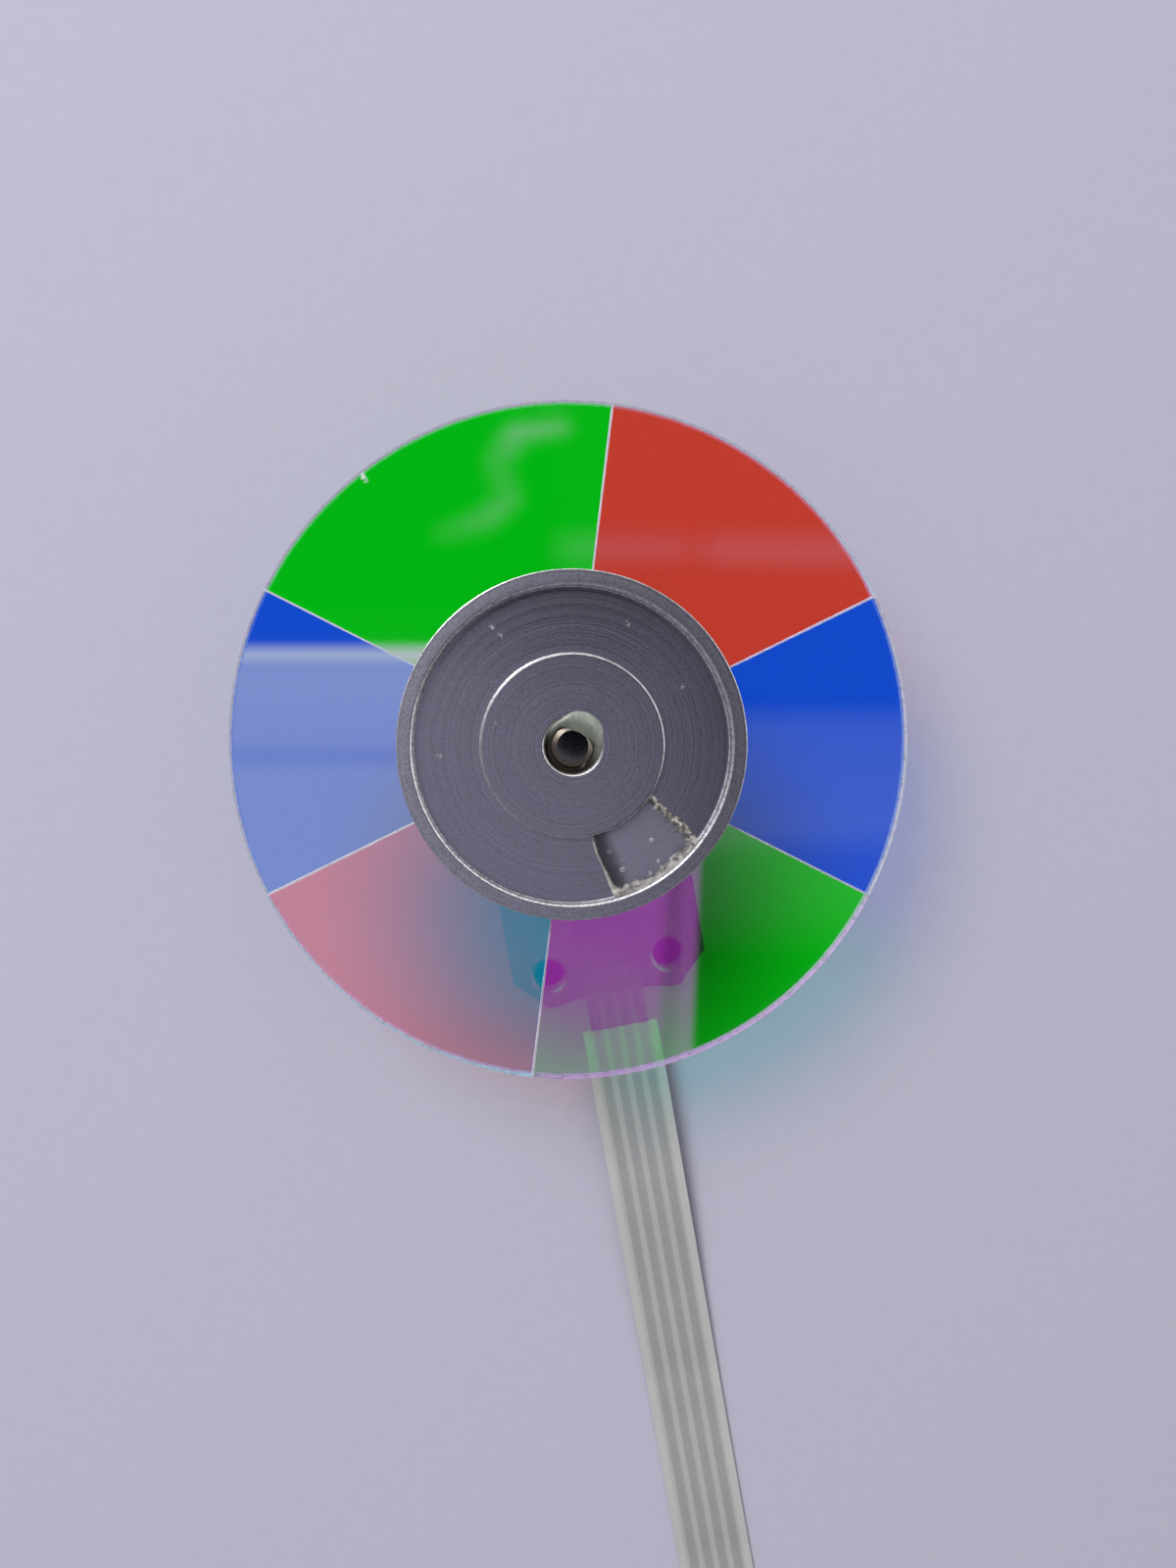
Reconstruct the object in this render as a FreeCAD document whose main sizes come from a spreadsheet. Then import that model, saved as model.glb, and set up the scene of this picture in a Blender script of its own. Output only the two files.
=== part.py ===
"""Projector color wheel: a coated glass disc on a small brushless motor with a flat cable.

Frame: +Z is the spindle axis, the origin is on that axis at the underside of the base plate, and the
tongue of the base plate and the flat cable run towards -Y. Lengths are in millimetres.
"""
import FreeCAD, Part
import math
import os
import re
import Sketcher
from FreeCAD import Placement, Rotation, Vector

doc = FreeCAD.newDocument("ColorWheel")
sheet = doc.addObject("Spreadsheet::Sheet", "Dims")

# Half a turn in degrees
HALF_TURN = 180
# Places nearer than this count as one
TOUCH = 1e-4
# An edge with this share of its direction along an axis runs along it
ALONG = 0.99

# Driving dimensions, each one written once
DIMENSIONS = {
    # coated glass disc
    "disc_radius": 25.0,
    "glass_thick": 0.7,
    "first_seam_angle": 73.0,
    "red_angle": 57.0,
    "green_angle": 70.0,
    "seam_angle": 0.2,
    "bond_thick": 0.05,
    "film_inset": 0.2,
    # turned clamp ring with its balance groove
    "clamp_radius": 12.7,
    "clamp_thick": 1.7,
    "rim_width": 1.0,
    "rim_chamfer": 0.15,
    "groove_depth": 0.9,
    "boss_radius": 6.7,
    "boss_drop": 0.15,
    "boss_chamfer": 0.1,
    "clamp_bore_radius": 2.05,
    "bore_chamfer": 0.15,
    # rotor hub
    "seat_level": 10.5,
    "hub_web": 0.9,
    "pilot_radius": 9.4,
    "pilot_gap": 0.1,
    "hub_boss_radius": 3.2,
    "hub_boss_drop": 0.2,
    # drawn steel cup and ring magnet
    "yoke_wall": 0.7,
    "yoke_web": 0.6,
    "yoke_foot": 2.9,
    "yoke_shoulder": 0.5,
    "magnet_thick": 1.2,
    "magnet_height": 4.4,
    # timing mark on the cup
    "mark_thick": 0.08,
    "mark_height": 3.0,
    "mark_angle": 26.0,
    "mark_margin": 0.25,
    "mark_from": 40.0,
    # shaft
    "shaft_radius": 1.5,
    "shaft_chamfer": 0.4,
    "shaft_top_drop": 0.1,
    "pivot_gap": 0.02,
    "stop_radius": 2.3,
    "stop_thick": 0.25,
    "stop_groove": 0.3,
    "stop_opening": 40.0,
    "stop_lift": 0.25,
    # sleeve bearing: a porous bush between a thrust plate and an oil guard
    "bush_radius": 3.4,
    "bush_length": 6.5,
    "bush_foot": 1.5,
    "bush_play": 0.02,
    "thrust_radius": 2.6,
    "thrust_thick": 0.3,
    "guard_thick": 0.3,
    "guard_gap": 0.1,
    "sleeve_radius": 4.6,
    "sleeve_inset": 0.1,
    "sleeve_rim": 0.2,
    "cap_thick": 0.3,
    # wound stator
    "pole_count": 9,
    "core_height": 2.8,
    "core_ring": 1.5,
    "tooth_width": 1.6,
    "shoe_thick": 0.65,
    "slot_opening": 1.0,
    "air_gap": 0.3,
    "insulator_cap": 0.3,
    "band_width": 0.5,
    "insulator_wall": 0.15,
    "coil_thick": 0.8,
    "coil_length": 2.2,
    "coil_end_gap": 0.15,
    "coil_corner": 0.5,
    # base plate with its tongue
    "base_radius": 13.5,
    "plate_thick": 2.0,
    "collar_radius": 5.5,
    "collar_height": 1.9,
    "tongue_root_round": 2.0,
    "screw_spacing": 10.0,
    "screw_reach": 18.65,
    "ear_side_margin": 3.0,
    "ear_tip_margin": 2.7,
    "ear_side_end": 0.2,
    "ear_bevel_end": 0.8,
    "ear_bevel_in": 1.8,
    "ear_tip_in": 2.4,
    "ear_foot_in": 3.4,
    "recess_in": 4.45,
    "recess_depth": 0.3,
    "ear_round": 0.5,
    "screw_hole_dia": 2.5,
    "screw_chamfer": 0.28,
    # flexible circuit and its joints
    "board_thick": 0.2,
    "board_radius": 9.3,
    "board_gap": 0.1,
    "tail_width": 4.8,
    "tail_root_round": 1.0,
    "lead_count": 4,
    "lead_radius": 0.15,
    "lead_place": 7.45,
    "solder_half": 0.5,
    "solder_height": 0.35,
    # adhesives
    "glue_spill_radius": 1.5,
    "glue_spill_side": 0.75,
    "glue_spill_up": 1.0,
    "glue_spill_rise": 0.12,
    "resin_rise": 0.5,
    "resin_from": -86.0,
    "resin_angle": 40.0,
    "resin_inset": 0.12,
    # flat cable
    "conductor_pitch": 1.25,
    "conductor_width": 0.8,
    "conductor_thick": 0.1,
    "conductor_count": 4,
    "conductor_bare": 2.65,
    "cable_thick": 0.3,
    "stiffener_thick": 0.2,
    "stiffener_length": 8.5,
    "contact_length": 4.5,
}

for row, (alias, number) in enumerate(DIMENSIONS.items(), start=1):
    sheet.set(f"A{row}", alias)
    sheet.set(f"B{row}", str(number))
    sheet.setAlias(f"B{row}", alias)
doc.recompute()

# Levels and radii that follow from the driving dimensions
FOLLOWING = {
    "blue_angle": f"{HALF_TURN} - red_angle - green_angle",
    "glass_top": "seat_level + glass_thick",
    "glass_bore": "pilot_radius + pilot_gap",
    "clamp_foot": "glass_top + bond_thick",
    "clamp_top": "clamp_foot + clamp_thick",
    "rim_inner": "clamp_radius - rim_width",
    "groove_floor": "clamp_top - groove_depth",
    "groove_outer": "rim_inner - rim_chamfer",
    "boss_top": "clamp_top - boss_drop",
    "web_foot": "seat_level - hub_web",
    "yoke_web_foot": "web_foot - yoke_web",
    "yoke_radius": "magnet_outer + yoke_wall",
    "magnet_outer": "magnet_inner + magnet_thick",
    "magnet_inner": "core_radius + air_gap",
    "core_radius": "shoe_inner + shoe_thick",
    "collar_top": "plate_thick + collar_height",
    "tongue_half": "screw_spacing / 2 + ear_side_margin",
    "ear_reach": "screw_reach + ear_tip_margin",
    "recess_reach": "ear_reach - recess_depth",
    "tail_reach": "recess_reach + board_gap + conductor_bare",
    "core_top": "collar_top + core_height",
    "core_middle": "collar_top + core_height / 2",
    "core_ring_outer": "sleeve_radius + core_ring",
    "pole_pitch": f"2 * {HALF_TURN} / pole_count",
    "band_inner": "(collar_radius + board_gap) / cos(pole_pitch / 2)",
    "band_outer": "band_inner + band_width",
    "shoe_inner": "sqrt((coil_end + coil_end_gap) ^ 2 + coil_outer_half ^ 2)",
    "coil_inner_half": "tooth_width / 2 + insulator_wall",
    "coil_outer_half": "coil_inner_half + coil_thick",
    "coil_window_half": "core_height / 2 + insulator_cap",
    "coil_half_height": "coil_window_half + coil_thick",
    "coil_start": "core_ring_outer + coil_end_gap",
    "coil_end": "coil_start + coil_length",
    "thrust_foot": "sleeve_inset + cap_thick",
    "thrust_top": "thrust_foot + thrust_thick",
    "bush_top": "bush_foot + bush_length",
    "bush_bore": "shaft_radius + bush_play",
    "guard_top": "bush_top + guard_thick",
    "sleeve_top": "guard_top + sleeve_rim",
    "stop_top": "bush_foot - stop_lift",
    "shaft_foot": "thrust_top + pivot_gap",
    "shaft_top": "boss_top - shaft_top_drop",
    "board_top": "plate_thick + board_thick",
}


def formula(text):
    """Turn a formula in the names above into one that reads the sheet."""
    def replace(match):
        word = match.group(0)
        if word in FOLLOWING:
            return "(" + formula(FOLLOWING[word]) + ")"
        return "Dims." + word if word in DIMENSIONS else word
    return re.sub(r"[a-z][a-z_]+", replace, text)


def bind(target, **properties):
    """Bind properties of a feature to formulas, with __ for the dots in a path."""
    for path, text in properties.items():
        target.setExpression(path.replace("__", "."), formula(text))


def new_body(label, level=None, turn=None):
    """Start a body, lifted by a level and turned about Z where it needs that."""
    body = doc.addObject("PartDesign::Body", label)
    body.Label = label
    if level is not None:
        bind(body, Placement__Base__z=level)
    if turn is not None:
        body.Placement = Placement(Vector(), Rotation(Vector(0, 0, 1), 1.0))
        bind(body, Placement__Rotation__Angle=turn)
    return body


def origin_feature(body, role):
    """One of the planes or axes of a body's own origin."""
    return next(item for item in body.Origin.OriginFeatures if item.Role == role)


def new_sketch(body, name, plane="XY_Plane", offset=None):
    """A sketch on one of the body's origin planes, offset along its normal."""
    sketch = body.newObject("Sketcher::SketchObject", name)
    sketch.AttachmentSupport = [(origin_feature(body, plane), "")]
    sketch.MapMode = "FlatFace"
    if offset is not None:
        bind(sketch, AttachmentOffset__Base__z=offset)
    return sketch


def place_point(sketch, element, end, across, up):
    """Fix one point of the sketch at two formulas from its origin."""
    for kind, text in (("DistanceX", across), ("DistanceY", up)):
        here = sketch.getPoint(element, end)
        start = here.x if kind == "DistanceX" else here.y
        index = sketch.addConstraint(Sketcher.Constraint(kind, -1, 1, element, end, start))
        sketch.setExpression(f"Constraints[{index}]", formula(text))


def draw_outline(sketch, corners):
    """A closed outline of straight lines through corners given as formulas."""
    count = len(corners)
    guide = [Vector(math.cos(math.tau * i / count), math.sin(math.tau * i / count), 0) for i in range(count)]
    first = sketch.GeometryCount
    for i in range(count):
        sketch.addGeometry(Part.LineSegment(guide[i], guide[(i + 1) % count]))
    for i in range(count):
        sketch.addConstraint(Sketcher.Constraint("Coincident", first + i, 2, first + (i + 1) % count, 1))
    for i, (across, up) in enumerate(corners):
        place_point(sketch, first + i, 1, across, up)


def draw_circle(sketch, radius, across="0", up="0"):
    """A circle with its centre and radius given as formulas."""
    element = sketch.addGeometry(Part.Circle(Vector(0, 0, 0), Vector(0, 0, 1), 1.0))
    place_point(sketch, element, 3, across, up)
    index = sketch.addConstraint(Sketcher.Constraint("Radius", element, 1.0))
    sketch.setExpression(f"Constraints[{index}]", formula(radius))


def rectangle(left, right, low, high):
    """The four corners of a rectangle given as formulas."""
    return [(left, low), (right, low), (right, high), (left, high)]


def add_revolution(body, name, corners, angle=None):
    """Turn an outline of (radius, height) corners about the spindle axis."""
    sketch = new_sketch(body, name + "Profile", "XZ_Plane")
    draw_outline(sketch, corners)
    turned = body.newObject("PartDesign::Revolution", name)
    turned.Profile = sketch
    turned.ReferenceAxis = (sketch, ["V_Axis"])
    turned.Angle = 360.0
    if angle is not None:
        bind(turned, Angle=angle)
    return turned


def add_pad(body, name, sketch, length):
    """Raise a sketch by a length along +Z."""
    pad = body.newObject("PartDesign::Pad", name)
    pad.Profile = sketch
    bind(pad, Length=length)
    return pad


def add_pocket(body, name, sketch, depth):
    """Cut a sketch downwards by a depth."""
    pocket = body.newObject("PartDesign::Pocket", name)
    pocket.Profile = sketch
    bind(pocket, Length=depth)
    return pocket


def add_primitive(body, kind, name, across, height, **sizes):
    """A primitive solid, placed across and above the origin, with its sizes given as formulas."""
    solid = body.newObject("PartDesign::" + kind, name)
    solid.AttachmentSupport = [(origin_feature(body, "XY_Plane"), "")]
    solid.MapMode = "FlatFace"
    bind(solid, AttachmentOffset__Base__x=across, AttachmentOffset__Base__z=height, **sizes)
    return solid


def add_polar(body, name, feature, count):
    """Repeat a feature round the spindle axis."""
    pattern = body.newObject("PartDesign::PolarPattern", name)
    pattern.Originals = [feature]
    pattern.Axis = (origin_feature(body, "Z_Axis"), [""])
    pattern.Angle = 360.0
    bind(pattern, Occurrences=count)
    body.Tip = pattern
    return pattern


def edges_where(feature, test):
    """Names of the feature's edges whose middle point and edge pass a test."""
    doc.recompute()
    names = []
    for number, edge in enumerate(feature.Shape.Edges, start=1):
        middle = edge.valueAt((edge.FirstParameter + edge.LastParameter) / 2)
        if test(middle, edge):
            names.append(f"Edge{number}")
    return names


def add_fillet(body, name, base, edges, radius):
    """Round the named edges of a feature."""
    fillet = body.newObject("PartDesign::Fillet", name)
    fillet.Base = (base, edges)
    bind(fillet, Radius=radius)
    return fillet


def add_chamfer(body, name, base, edges, size):
    """Bevel the named edges of a feature."""
    chamfer = body.newObject("PartDesign::Chamfer", name)
    chamfer.Base = (base, edges)
    bind(chamfer, Size=size)
    return chamfer


def number_of(name):
    """The present value of one driving dimension."""
    return float(sheet.get(name))


def total_of(name):
    """The present value of a name that is a dimension or adds up from dimensions."""
    if name in DIMENSIONS:
        return number_of(name)
    terms = re.findall(r"(-?) ?([a-z_]+)", FOLLOWING[name])
    return sum(-total_of(word) if sign else total_of(word) for sign, word in terms)


def is_upright(edge):
    """Whether an edge is a straight line along Z."""
    return edge.Curve.TypeId == "Part::GeomLine" and abs(edge.tangentAt(0).z) > ALONG


def is_level_circle(edge, radius, height):
    """Whether an edge is a circle of a radius at a height."""
    if edge.Curve.TypeId != "Part::GeomCircle":
        return False
    level = abs(edge.Curve.Axis.z) > ALONG and abs(edge.Curve.Center.z - height) < TOUCH
    return level and abs(edge.Curve.Radius - radius) < TOUCH


# Base plate: a round flange with a collar for the sleeve, and the tongue with its two ears
def make_base_plate():
    body = new_body("base_plate")
    flange = new_sketch(body, "FlangeOutline")
    draw_circle(flange, "base_radius")
    add_pad(body, "Flange", flange, "plate_thick")
    right = [
        ("tongue_half - recess_in", "recess_reach"),
        ("tongue_half - ear_foot_in", "ear_reach"),
        ("tongue_half - ear_tip_in", "ear_reach"),
        ("tongue_half - ear_bevel_in", "ear_reach - ear_bevel_end"),
        ("tongue_half", "screw_reach + ear_side_end"),
        ("tongue_half", "0"),
    ]
    outline = [(across, f"-({reach})") for across, reach in right]
    outline += [(f"-({across})", f"-({reach})") for across, reach in reversed(right)]
    tongue = new_sketch(body, "TongueOutline")
    draw_outline(tongue, outline)
    plate = add_pad(body, "Tongue", tongue, "plate_thick")
    ears = edges_where(plate, lambda at, edge: is_upright(edge) and at.y < -number_of("screw_reach"))
    plate = add_fillet(body, "EarRounds", plate, ears, "ear_round")
    roots = edges_where(plate, lambda at, edge: is_upright(edge) and at.y > -number_of("base_radius"))
    plate = add_fillet(body, "TongueRootRounds", plate, roots, "tongue_root_round")
    collar = new_sketch(body, "CollarOutline", offset="plate_thick")
    draw_circle(collar, "collar_radius")
    add_pad(body, "Collar", collar, "collar_height")
    bore = new_sketch(body, "BoreOutline", offset="collar_top")
    draw_circle(bore, "sleeve_radius")
    add_pocket(body, "Bore", bore, "collar_top")
    holes = new_sketch(body, "ScrewHoleOutline", offset="plate_thick")
    for side in ("-", ""):
        draw_circle(holes, "screw_hole_dia / 2", side + "screw_spacing / 2", "-screw_reach")
    cut = add_pocket(body, "ScrewHoles", holes, "plate_thick")
    radius = number_of("screw_hole_dia") / 2
    top = number_of("plate_thick")
    mouths = edges_where(cut, lambda at, edge: is_level_circle(edge, radius, top))
    add_chamfer(body, "ScrewHoleChamfers", cut, mouths, "screw_chamfer")
    return body


# Bearing sleeve: turned, bored from above for the bush and from below for the thrust plate and cap
def make_bearing_sleeve():
    body = new_body("bearing_sleeve")
    add_revolution(body, "Sleeve", [
        ("thrust_radius", "sleeve_inset"),
        ("sleeve_radius", "sleeve_inset"),
        ("sleeve_radius", "sleeve_top"),
        ("bush_radius", "sleeve_top"),
        ("bush_radius", "bush_foot"),
        ("thrust_radius", "bush_foot"),
    ])
    return body


def make_disc(label, inner, outer, low, high):
    """A flat turned disc or washer."""
    body = new_body(label)
    add_revolution(body, "Disc", rectangle(inner, outer, low, high))
    return body


# Stator core: a ring on the sleeve, nine teeth, and pole shoes parted by the slot openings
def make_stator_core():
    body = new_body("stator_core")
    ring = new_sketch(body, "CoreRingOutline", offset="collar_top")
    draw_circle(ring, "core_ring_outer")
    draw_circle(ring, "sleeve_radius")
    add_pad(body, "CoreRing", ring, "core_height")
    overlap = "core_ring / 2"
    tooth = new_sketch(body, "ToothOutline", offset="collar_top")
    draw_outline(tooth, rectangle(f"core_ring_outer - {overlap}", "core_radius - shoe_thick / 2",
                                  "-tooth_width / 2", "tooth_width / 2"))
    add_polar(body, "Teeth", add_pad(body, "Tooth", tooth, "core_height"), "pole_count")
    shoes = new_sketch(body, "ShoeOutline", offset="collar_top")
    draw_circle(shoes, "core_radius")
    draw_circle(shoes, "shoe_inner")
    add_pad(body, "PoleShoes", shoes, "core_height")
    slot = new_sketch(body, "SlotOpeningOutline", offset="core_top")
    bind(slot, AttachmentOffset__Rotation__Angle="pole_pitch / 2")
    draw_outline(slot, rectangle("shoe_inner - shoe_thick", "core_radius + shoe_thick",
                                 "-slot_opening / 2", "slot_opening / 2"))
    add_polar(body, "SlotOpenings", add_pocket(body, "SlotOpening", slot, "core_height"), "pole_count")
    return body


# Insulators: a moulded star on each side of the core, with flats on its hub band and a finger under each coil
def make_insulator(label, foot):
    body = new_body(label)
    band = add_primitive(body, "AdditivePrism", "HubBand", "0", foot, Polygon="pole_count",
                         Circumradius="band_outer", Height="insulator_cap")
    bind(band, AttachmentOffset__Rotation__Angle="pole_pitch / 2")
    finger = new_sketch(body, "FingerOutline", offset=foot)
    draw_outline(finger, rectangle("band_inner", "shoe_inner", "-coil_inner_half", "coil_inner_half"))
    add_polar(body, "Fingers", add_pad(body, "Finger", finger, "insulator_cap"), "pole_count")
    opening = add_primitive(body, "SubtractivePrism", "HubOpening", "0", foot, Polygon="pole_count",
                            Circumradius="band_inner", Height="insulator_cap")
    bind(opening, AttachmentOffset__Rotation__Angle="pole_pitch / 2")
    return body


# Coils: one closed winding round each insulated tooth
def make_coil_windings():
    body = new_body("coil_windings")
    body.AllowCompound = True
    block = new_sketch(body, "CoilOutline", "YZ_Plane", offset="coil_start")
    draw_outline(block, rectangle("-coil_outer_half", "coil_outer_half",
                                  "core_middle - coil_half_height", "core_middle + coil_half_height"))
    coil = add_pad(body, "Winding", block, "coil_end - coil_start")
    corners = edges_where(coil, lambda at, edge: abs(edge.tangentAt(edge.FirstParameter).x) > ALONG)
    add_chamfer(body, "CoilCorners", coil, corners, "coil_corner")
    window = new_sketch(body, "WindowOutline", "YZ_Plane", offset="coil_end")
    draw_outline(window, rectangle("-coil_inner_half", "coil_inner_half",
                                   "core_middle - coil_window_half", "core_middle + coil_window_half"))
    coil = add_pocket(body, "Window", window, "coil_end - coil_start")
    coils = add_polar(body, "Windings", coil, "pole_count")
    coils.TransformMode = "Whole shape"
    return body


# Four lead-outs from the coils and the solder joints that hold them on the circuit
def spread_leads(body, feature):
    pattern = add_polar(body, "Leads", feature, "lead_count")
    pattern.TransformMode = "Whole shape"
    bind(pattern, Angle="(lead_count - 1) * pole_pitch")
    return body


def make_winding_leads():
    body = new_body("winding_leads", turn="-(lead_count - 1) * pole_pitch")
    body.AllowCompound = True
    lead = add_primitive(body, "AdditivePrism", "Lead", "lead_place", "board_top + solder_height",
                         Circumradius="lead_radius",
                         Height="core_middle - coil_half_height - board_top - solder_height")
    return spread_leads(body, lead)


def make_lead_solder():
    body = new_body("lead_solder", turn="-(lead_count - 1) * pole_pitch")
    body.AllowCompound = True
    pad = add_primitive(body, "AdditiveBox", "Joint", "lead_place - solder_half", "board_top",
                        Length="2 * solder_half", Width="2 * solder_half", Height="solder_height")
    bind(pad, AttachmentOffset__Base__y="-solder_half")
    top = total_of("board_top") + number_of("solder_height")
    edges = edges_where(pad, lambda at, edge: abs(at.z - top) < TOUCH)
    pad = add_chamfer(body, "JointSlopes", pad, edges, "solder_height / 2")
    return spread_leads(body, pad)


# Flexible circuit: a ring round the collar and the tail that carries the cable
def make_circuit_board():
    body = new_body("circuit_board")
    ring = new_sketch(body, "RingOutline", offset="plate_thick")
    draw_circle(ring, "board_radius")
    add_pad(body, "Ring", ring, "board_thick")
    tail = new_sketch(body, "TailOutline", offset="plate_thick")
    draw_outline(tail, rectangle("-tail_width / 2", "tail_width / 2", "-tail_reach", "0"))
    pad = add_pad(body, "Tail", tail, "board_thick")
    roots = edges_where(pad, lambda at, edge: is_upright(edge) and at.y > -number_of("board_radius"))
    add_fillet(body, "TailRoots", pad, roots, "tail_root_round")
    opening = new_sketch(body, "CollarOutline", offset="board_top")
    draw_circle(opening, "collar_radius + board_gap")
    add_pocket(body, "CollarOpening", opening, "board_thick")
    return body


# Drawn steel cup with a bevelled shoulder
def make_rotor_yoke():
    body = new_body("rotor_yoke")
    add_revolution(body, "Cup", [
        ("hub_boss_radius", "yoke_web_foot"),
        ("magnet_outer", "yoke_web_foot"),
        ("magnet_outer", "yoke_foot"),
        ("yoke_radius", "yoke_foot"),
        ("yoke_radius", "web_foot - yoke_shoulder"),
        ("yoke_radius - yoke_shoulder", "web_foot"),
        ("hub_boss_radius", "web_foot"),
    ])
    return body


def make_rotor_magnet():
    body = new_body("rotor_magnet", "core_middle")
    add_revolution(body, "Magnet", rectangle("magnet_inner", "magnet_outer", "-magnet_height / 2",
                                             "magnet_height / 2"))
    return body


# Rotor hub: turned, with a boss on the shaft, the glass seat over the cup and the pilot in the glass
def make_rotor_hub():
    body = new_body("rotor_hub")
    add_revolution(body, "Hub", [
        ("shaft_radius", "yoke_web_foot - hub_boss_drop"),
        ("hub_boss_radius", "yoke_web_foot - hub_boss_drop"),
        ("hub_boss_radius", "web_foot"),
        ("clamp_radius", "web_foot"),
        ("clamp_radius", "seat_level"),
        ("pilot_radius", "seat_level"),
        ("pilot_radius", "glass_top"),
        ("shaft_radius", "glass_top"),
    ])
    return body


# Dark index mark on the wall of the cup
def make_timing_mark():
    body = new_body("timing_mark", turn="mark_from")
    top = "web_foot - yoke_shoulder - mark_margin"
    section = rectangle("yoke_radius", "yoke_radius + mark_thick", f"{top} - mark_height", top)
    add_revolution(body, "Mark", section, angle="mark_angle")
    return body


# Shaft: chamfered at the top, with a neck for the stop ring at the foot
def make_shaft():
    body = new_body("shaft")
    neck = "shaft_radius - stop_groove"
    add_revolution(body, "Shaft", [
        ("0", "shaft_foot"),
        (neck, "shaft_foot"),
        (neck, "stop_top"),
        ("shaft_radius", "stop_top"),
        ("shaft_radius", "shaft_top - shaft_chamfer"),
        ("shaft_radius - shaft_chamfer", "shaft_top"),
        ("0", "shaft_top"),
    ])
    return body


# Split ring that snaps onto the neck of the shaft and keeps the rotor from lifting out
def make_stop_ring():
    body = new_body("stop_ring", turn="stop_opening / 2")
    section = rectangle("shaft_radius - stop_groove", "stop_radius", "stop_top - stop_thick", "stop_top")
    add_revolution(body, "StopRing", section, angle=f"2 * {HALF_TURN} - stop_opening")
    return body


# Clamp ring: turned, with the rim, the balance groove and the boss round the bore
def make_clamp_ring():
    body = new_body("clamp_ring")
    add_revolution(body, "ClampRing", [
        ("clamp_bore_radius", "clamp_foot"),
        ("clamp_radius", "clamp_foot"),
        ("clamp_radius", "clamp_top"),
        ("rim_inner", "clamp_top"),
        ("rim_inner - rim_chamfer", "clamp_top - rim_chamfer"),
        ("groove_outer", "groove_floor"),
        ("boss_radius", "groove_floor"),
        ("boss_radius", "boss_top - boss_chamfer"),
        ("boss_radius - boss_chamfer", "boss_top"),
        ("clamp_bore_radius + bore_chamfer", "boss_top"),
        ("clamp_bore_radius", "boss_top - bore_chamfer"),
    ])
    return body


# One coated glass sector, from its start angle towards +90 degrees
def make_filter(label, start, angle):
    body = new_body(label, turn=f"{start} + seam_angle / 2")
    add_revolution(body, "Sector", rectangle("glass_bore", "disc_radius", "seat_level", "glass_top"),
                   angle=f"{angle} - seam_angle")
    return body


def make_filters():
    made = []
    start = "first_seam_angle"
    for turn in ("1", "2"):
        for colour in ("green", "blue", "red"):
            made.append(make_filter(f"{colour}_filter_{turn}", start, f"{colour}_angle"))
            start += f" + {colour}_angle"
    return made


# Bond film that holds the clamp ring on the glass and on the pilot
def make_filter_adhesive():
    outer = "clamp_radius - film_inset"
    return make_disc("filter_adhesive", "clamp_bore_radius", outer, "glass_top", "clamp_foot")


def cut_by(label, blank, tool):
    """A part made from a blank by taking another part's shape out of it."""
    cut = doc.addObject("Part::Cut", label)
    cut.Base = blank
    cut.Tool = tool
    cut.Label = label
    return cut


# Epoxy that fills the bore round the shaft and has spilt over one side of the boss
def make_shaft_adhesive(clamp):
    blank = new_body("shaft_adhesive_blank")
    fill = new_sketch(blank, "FillOutline", offset="clamp_foot")
    draw_circle(fill, "clamp_bore_radius")
    add_pad(blank, "Fill", fill, "boss_top - bore_chamfer - clamp_foot")
    spill = new_sketch(blank, "SpillOutline", offset="boss_top - bore_chamfer")
    draw_circle(spill, "glue_spill_radius", "glue_spill_side", "glue_spill_up")
    add_pad(blank, "Spill", spill, "bore_chamfer + glue_spill_rise")
    bore = new_sketch(blank, "ShaftOutline", offset="boss_top + glue_spill_rise")
    draw_circle(bore, "shaft_radius")
    add_pocket(blank, "ShaftBore", bore, "boss_top + glue_spill_rise - clamp_foot")
    return cut_by("shaft_adhesive", blank, clamp)


# Clear resin set in the balance groove to balance the wheel
def make_balance_resin(clamp):
    blank = new_body("balance_resin_blank", turn="resin_from")
    add_revolution(blank, "Wedge", [
        ("boss_radius", "groove_floor"),
        ("rim_inner", "groove_floor"),
        ("rim_inner", "groove_floor + resin_rise - resin_inset"),
        ("groove_outer - resin_inset", "groove_floor + resin_rise"),
        ("boss_radius + resin_inset", "groove_floor + resin_rise"),
        ("boss_radius", "groove_floor + resin_rise - resin_inset"),
    ], angle="resin_angle")
    return cut_by("balance_resin", blank, clamp)


# Bare ends of the cable's conductors under the tail of the circuit
def make_cable_conductor_ends():
    body = new_body("cable_conductor_ends")
    body.AllowCompound = True
    strip = add_primitive(body, "AdditiveBox", "Conductor",
                          "-(conductor_count - 1) * conductor_pitch / 2 - conductor_width / 2",
                          "plate_thick - conductor_thick", Length="conductor_width",
                          Width="conductor_bare", Height="conductor_thick")
    bind(strip, AttachmentOffset__Base__y="-tail_reach")
    row = body.newObject("PartDesign::LinearPattern", "Conductors")
    row.Originals = [strip]
    row.Direction = (origin_feature(body, "X_Axis"), [""])
    bind(row, Length="(conductor_count - 1) * conductor_pitch", Occurrences="conductor_count")
    body.Tip = row
    return body


# Route of the flat cable's middle line after its exit: side, reach towards -Y and height, chosen by hand
CABLE_ROUTE = [
    (0.0, 31.3, 1.90),
    (0.0, 40.8, 1.20),
    (0.0, 50.8, 0.38),
    (0.0, 62.8, 0.18),
    (0.0, 84.8, 0.17),
    (0.5, 115.8, 0.17),
    (1.8, 143.7, 0.17),
]
ARC_SHARE = 0.45


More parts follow.
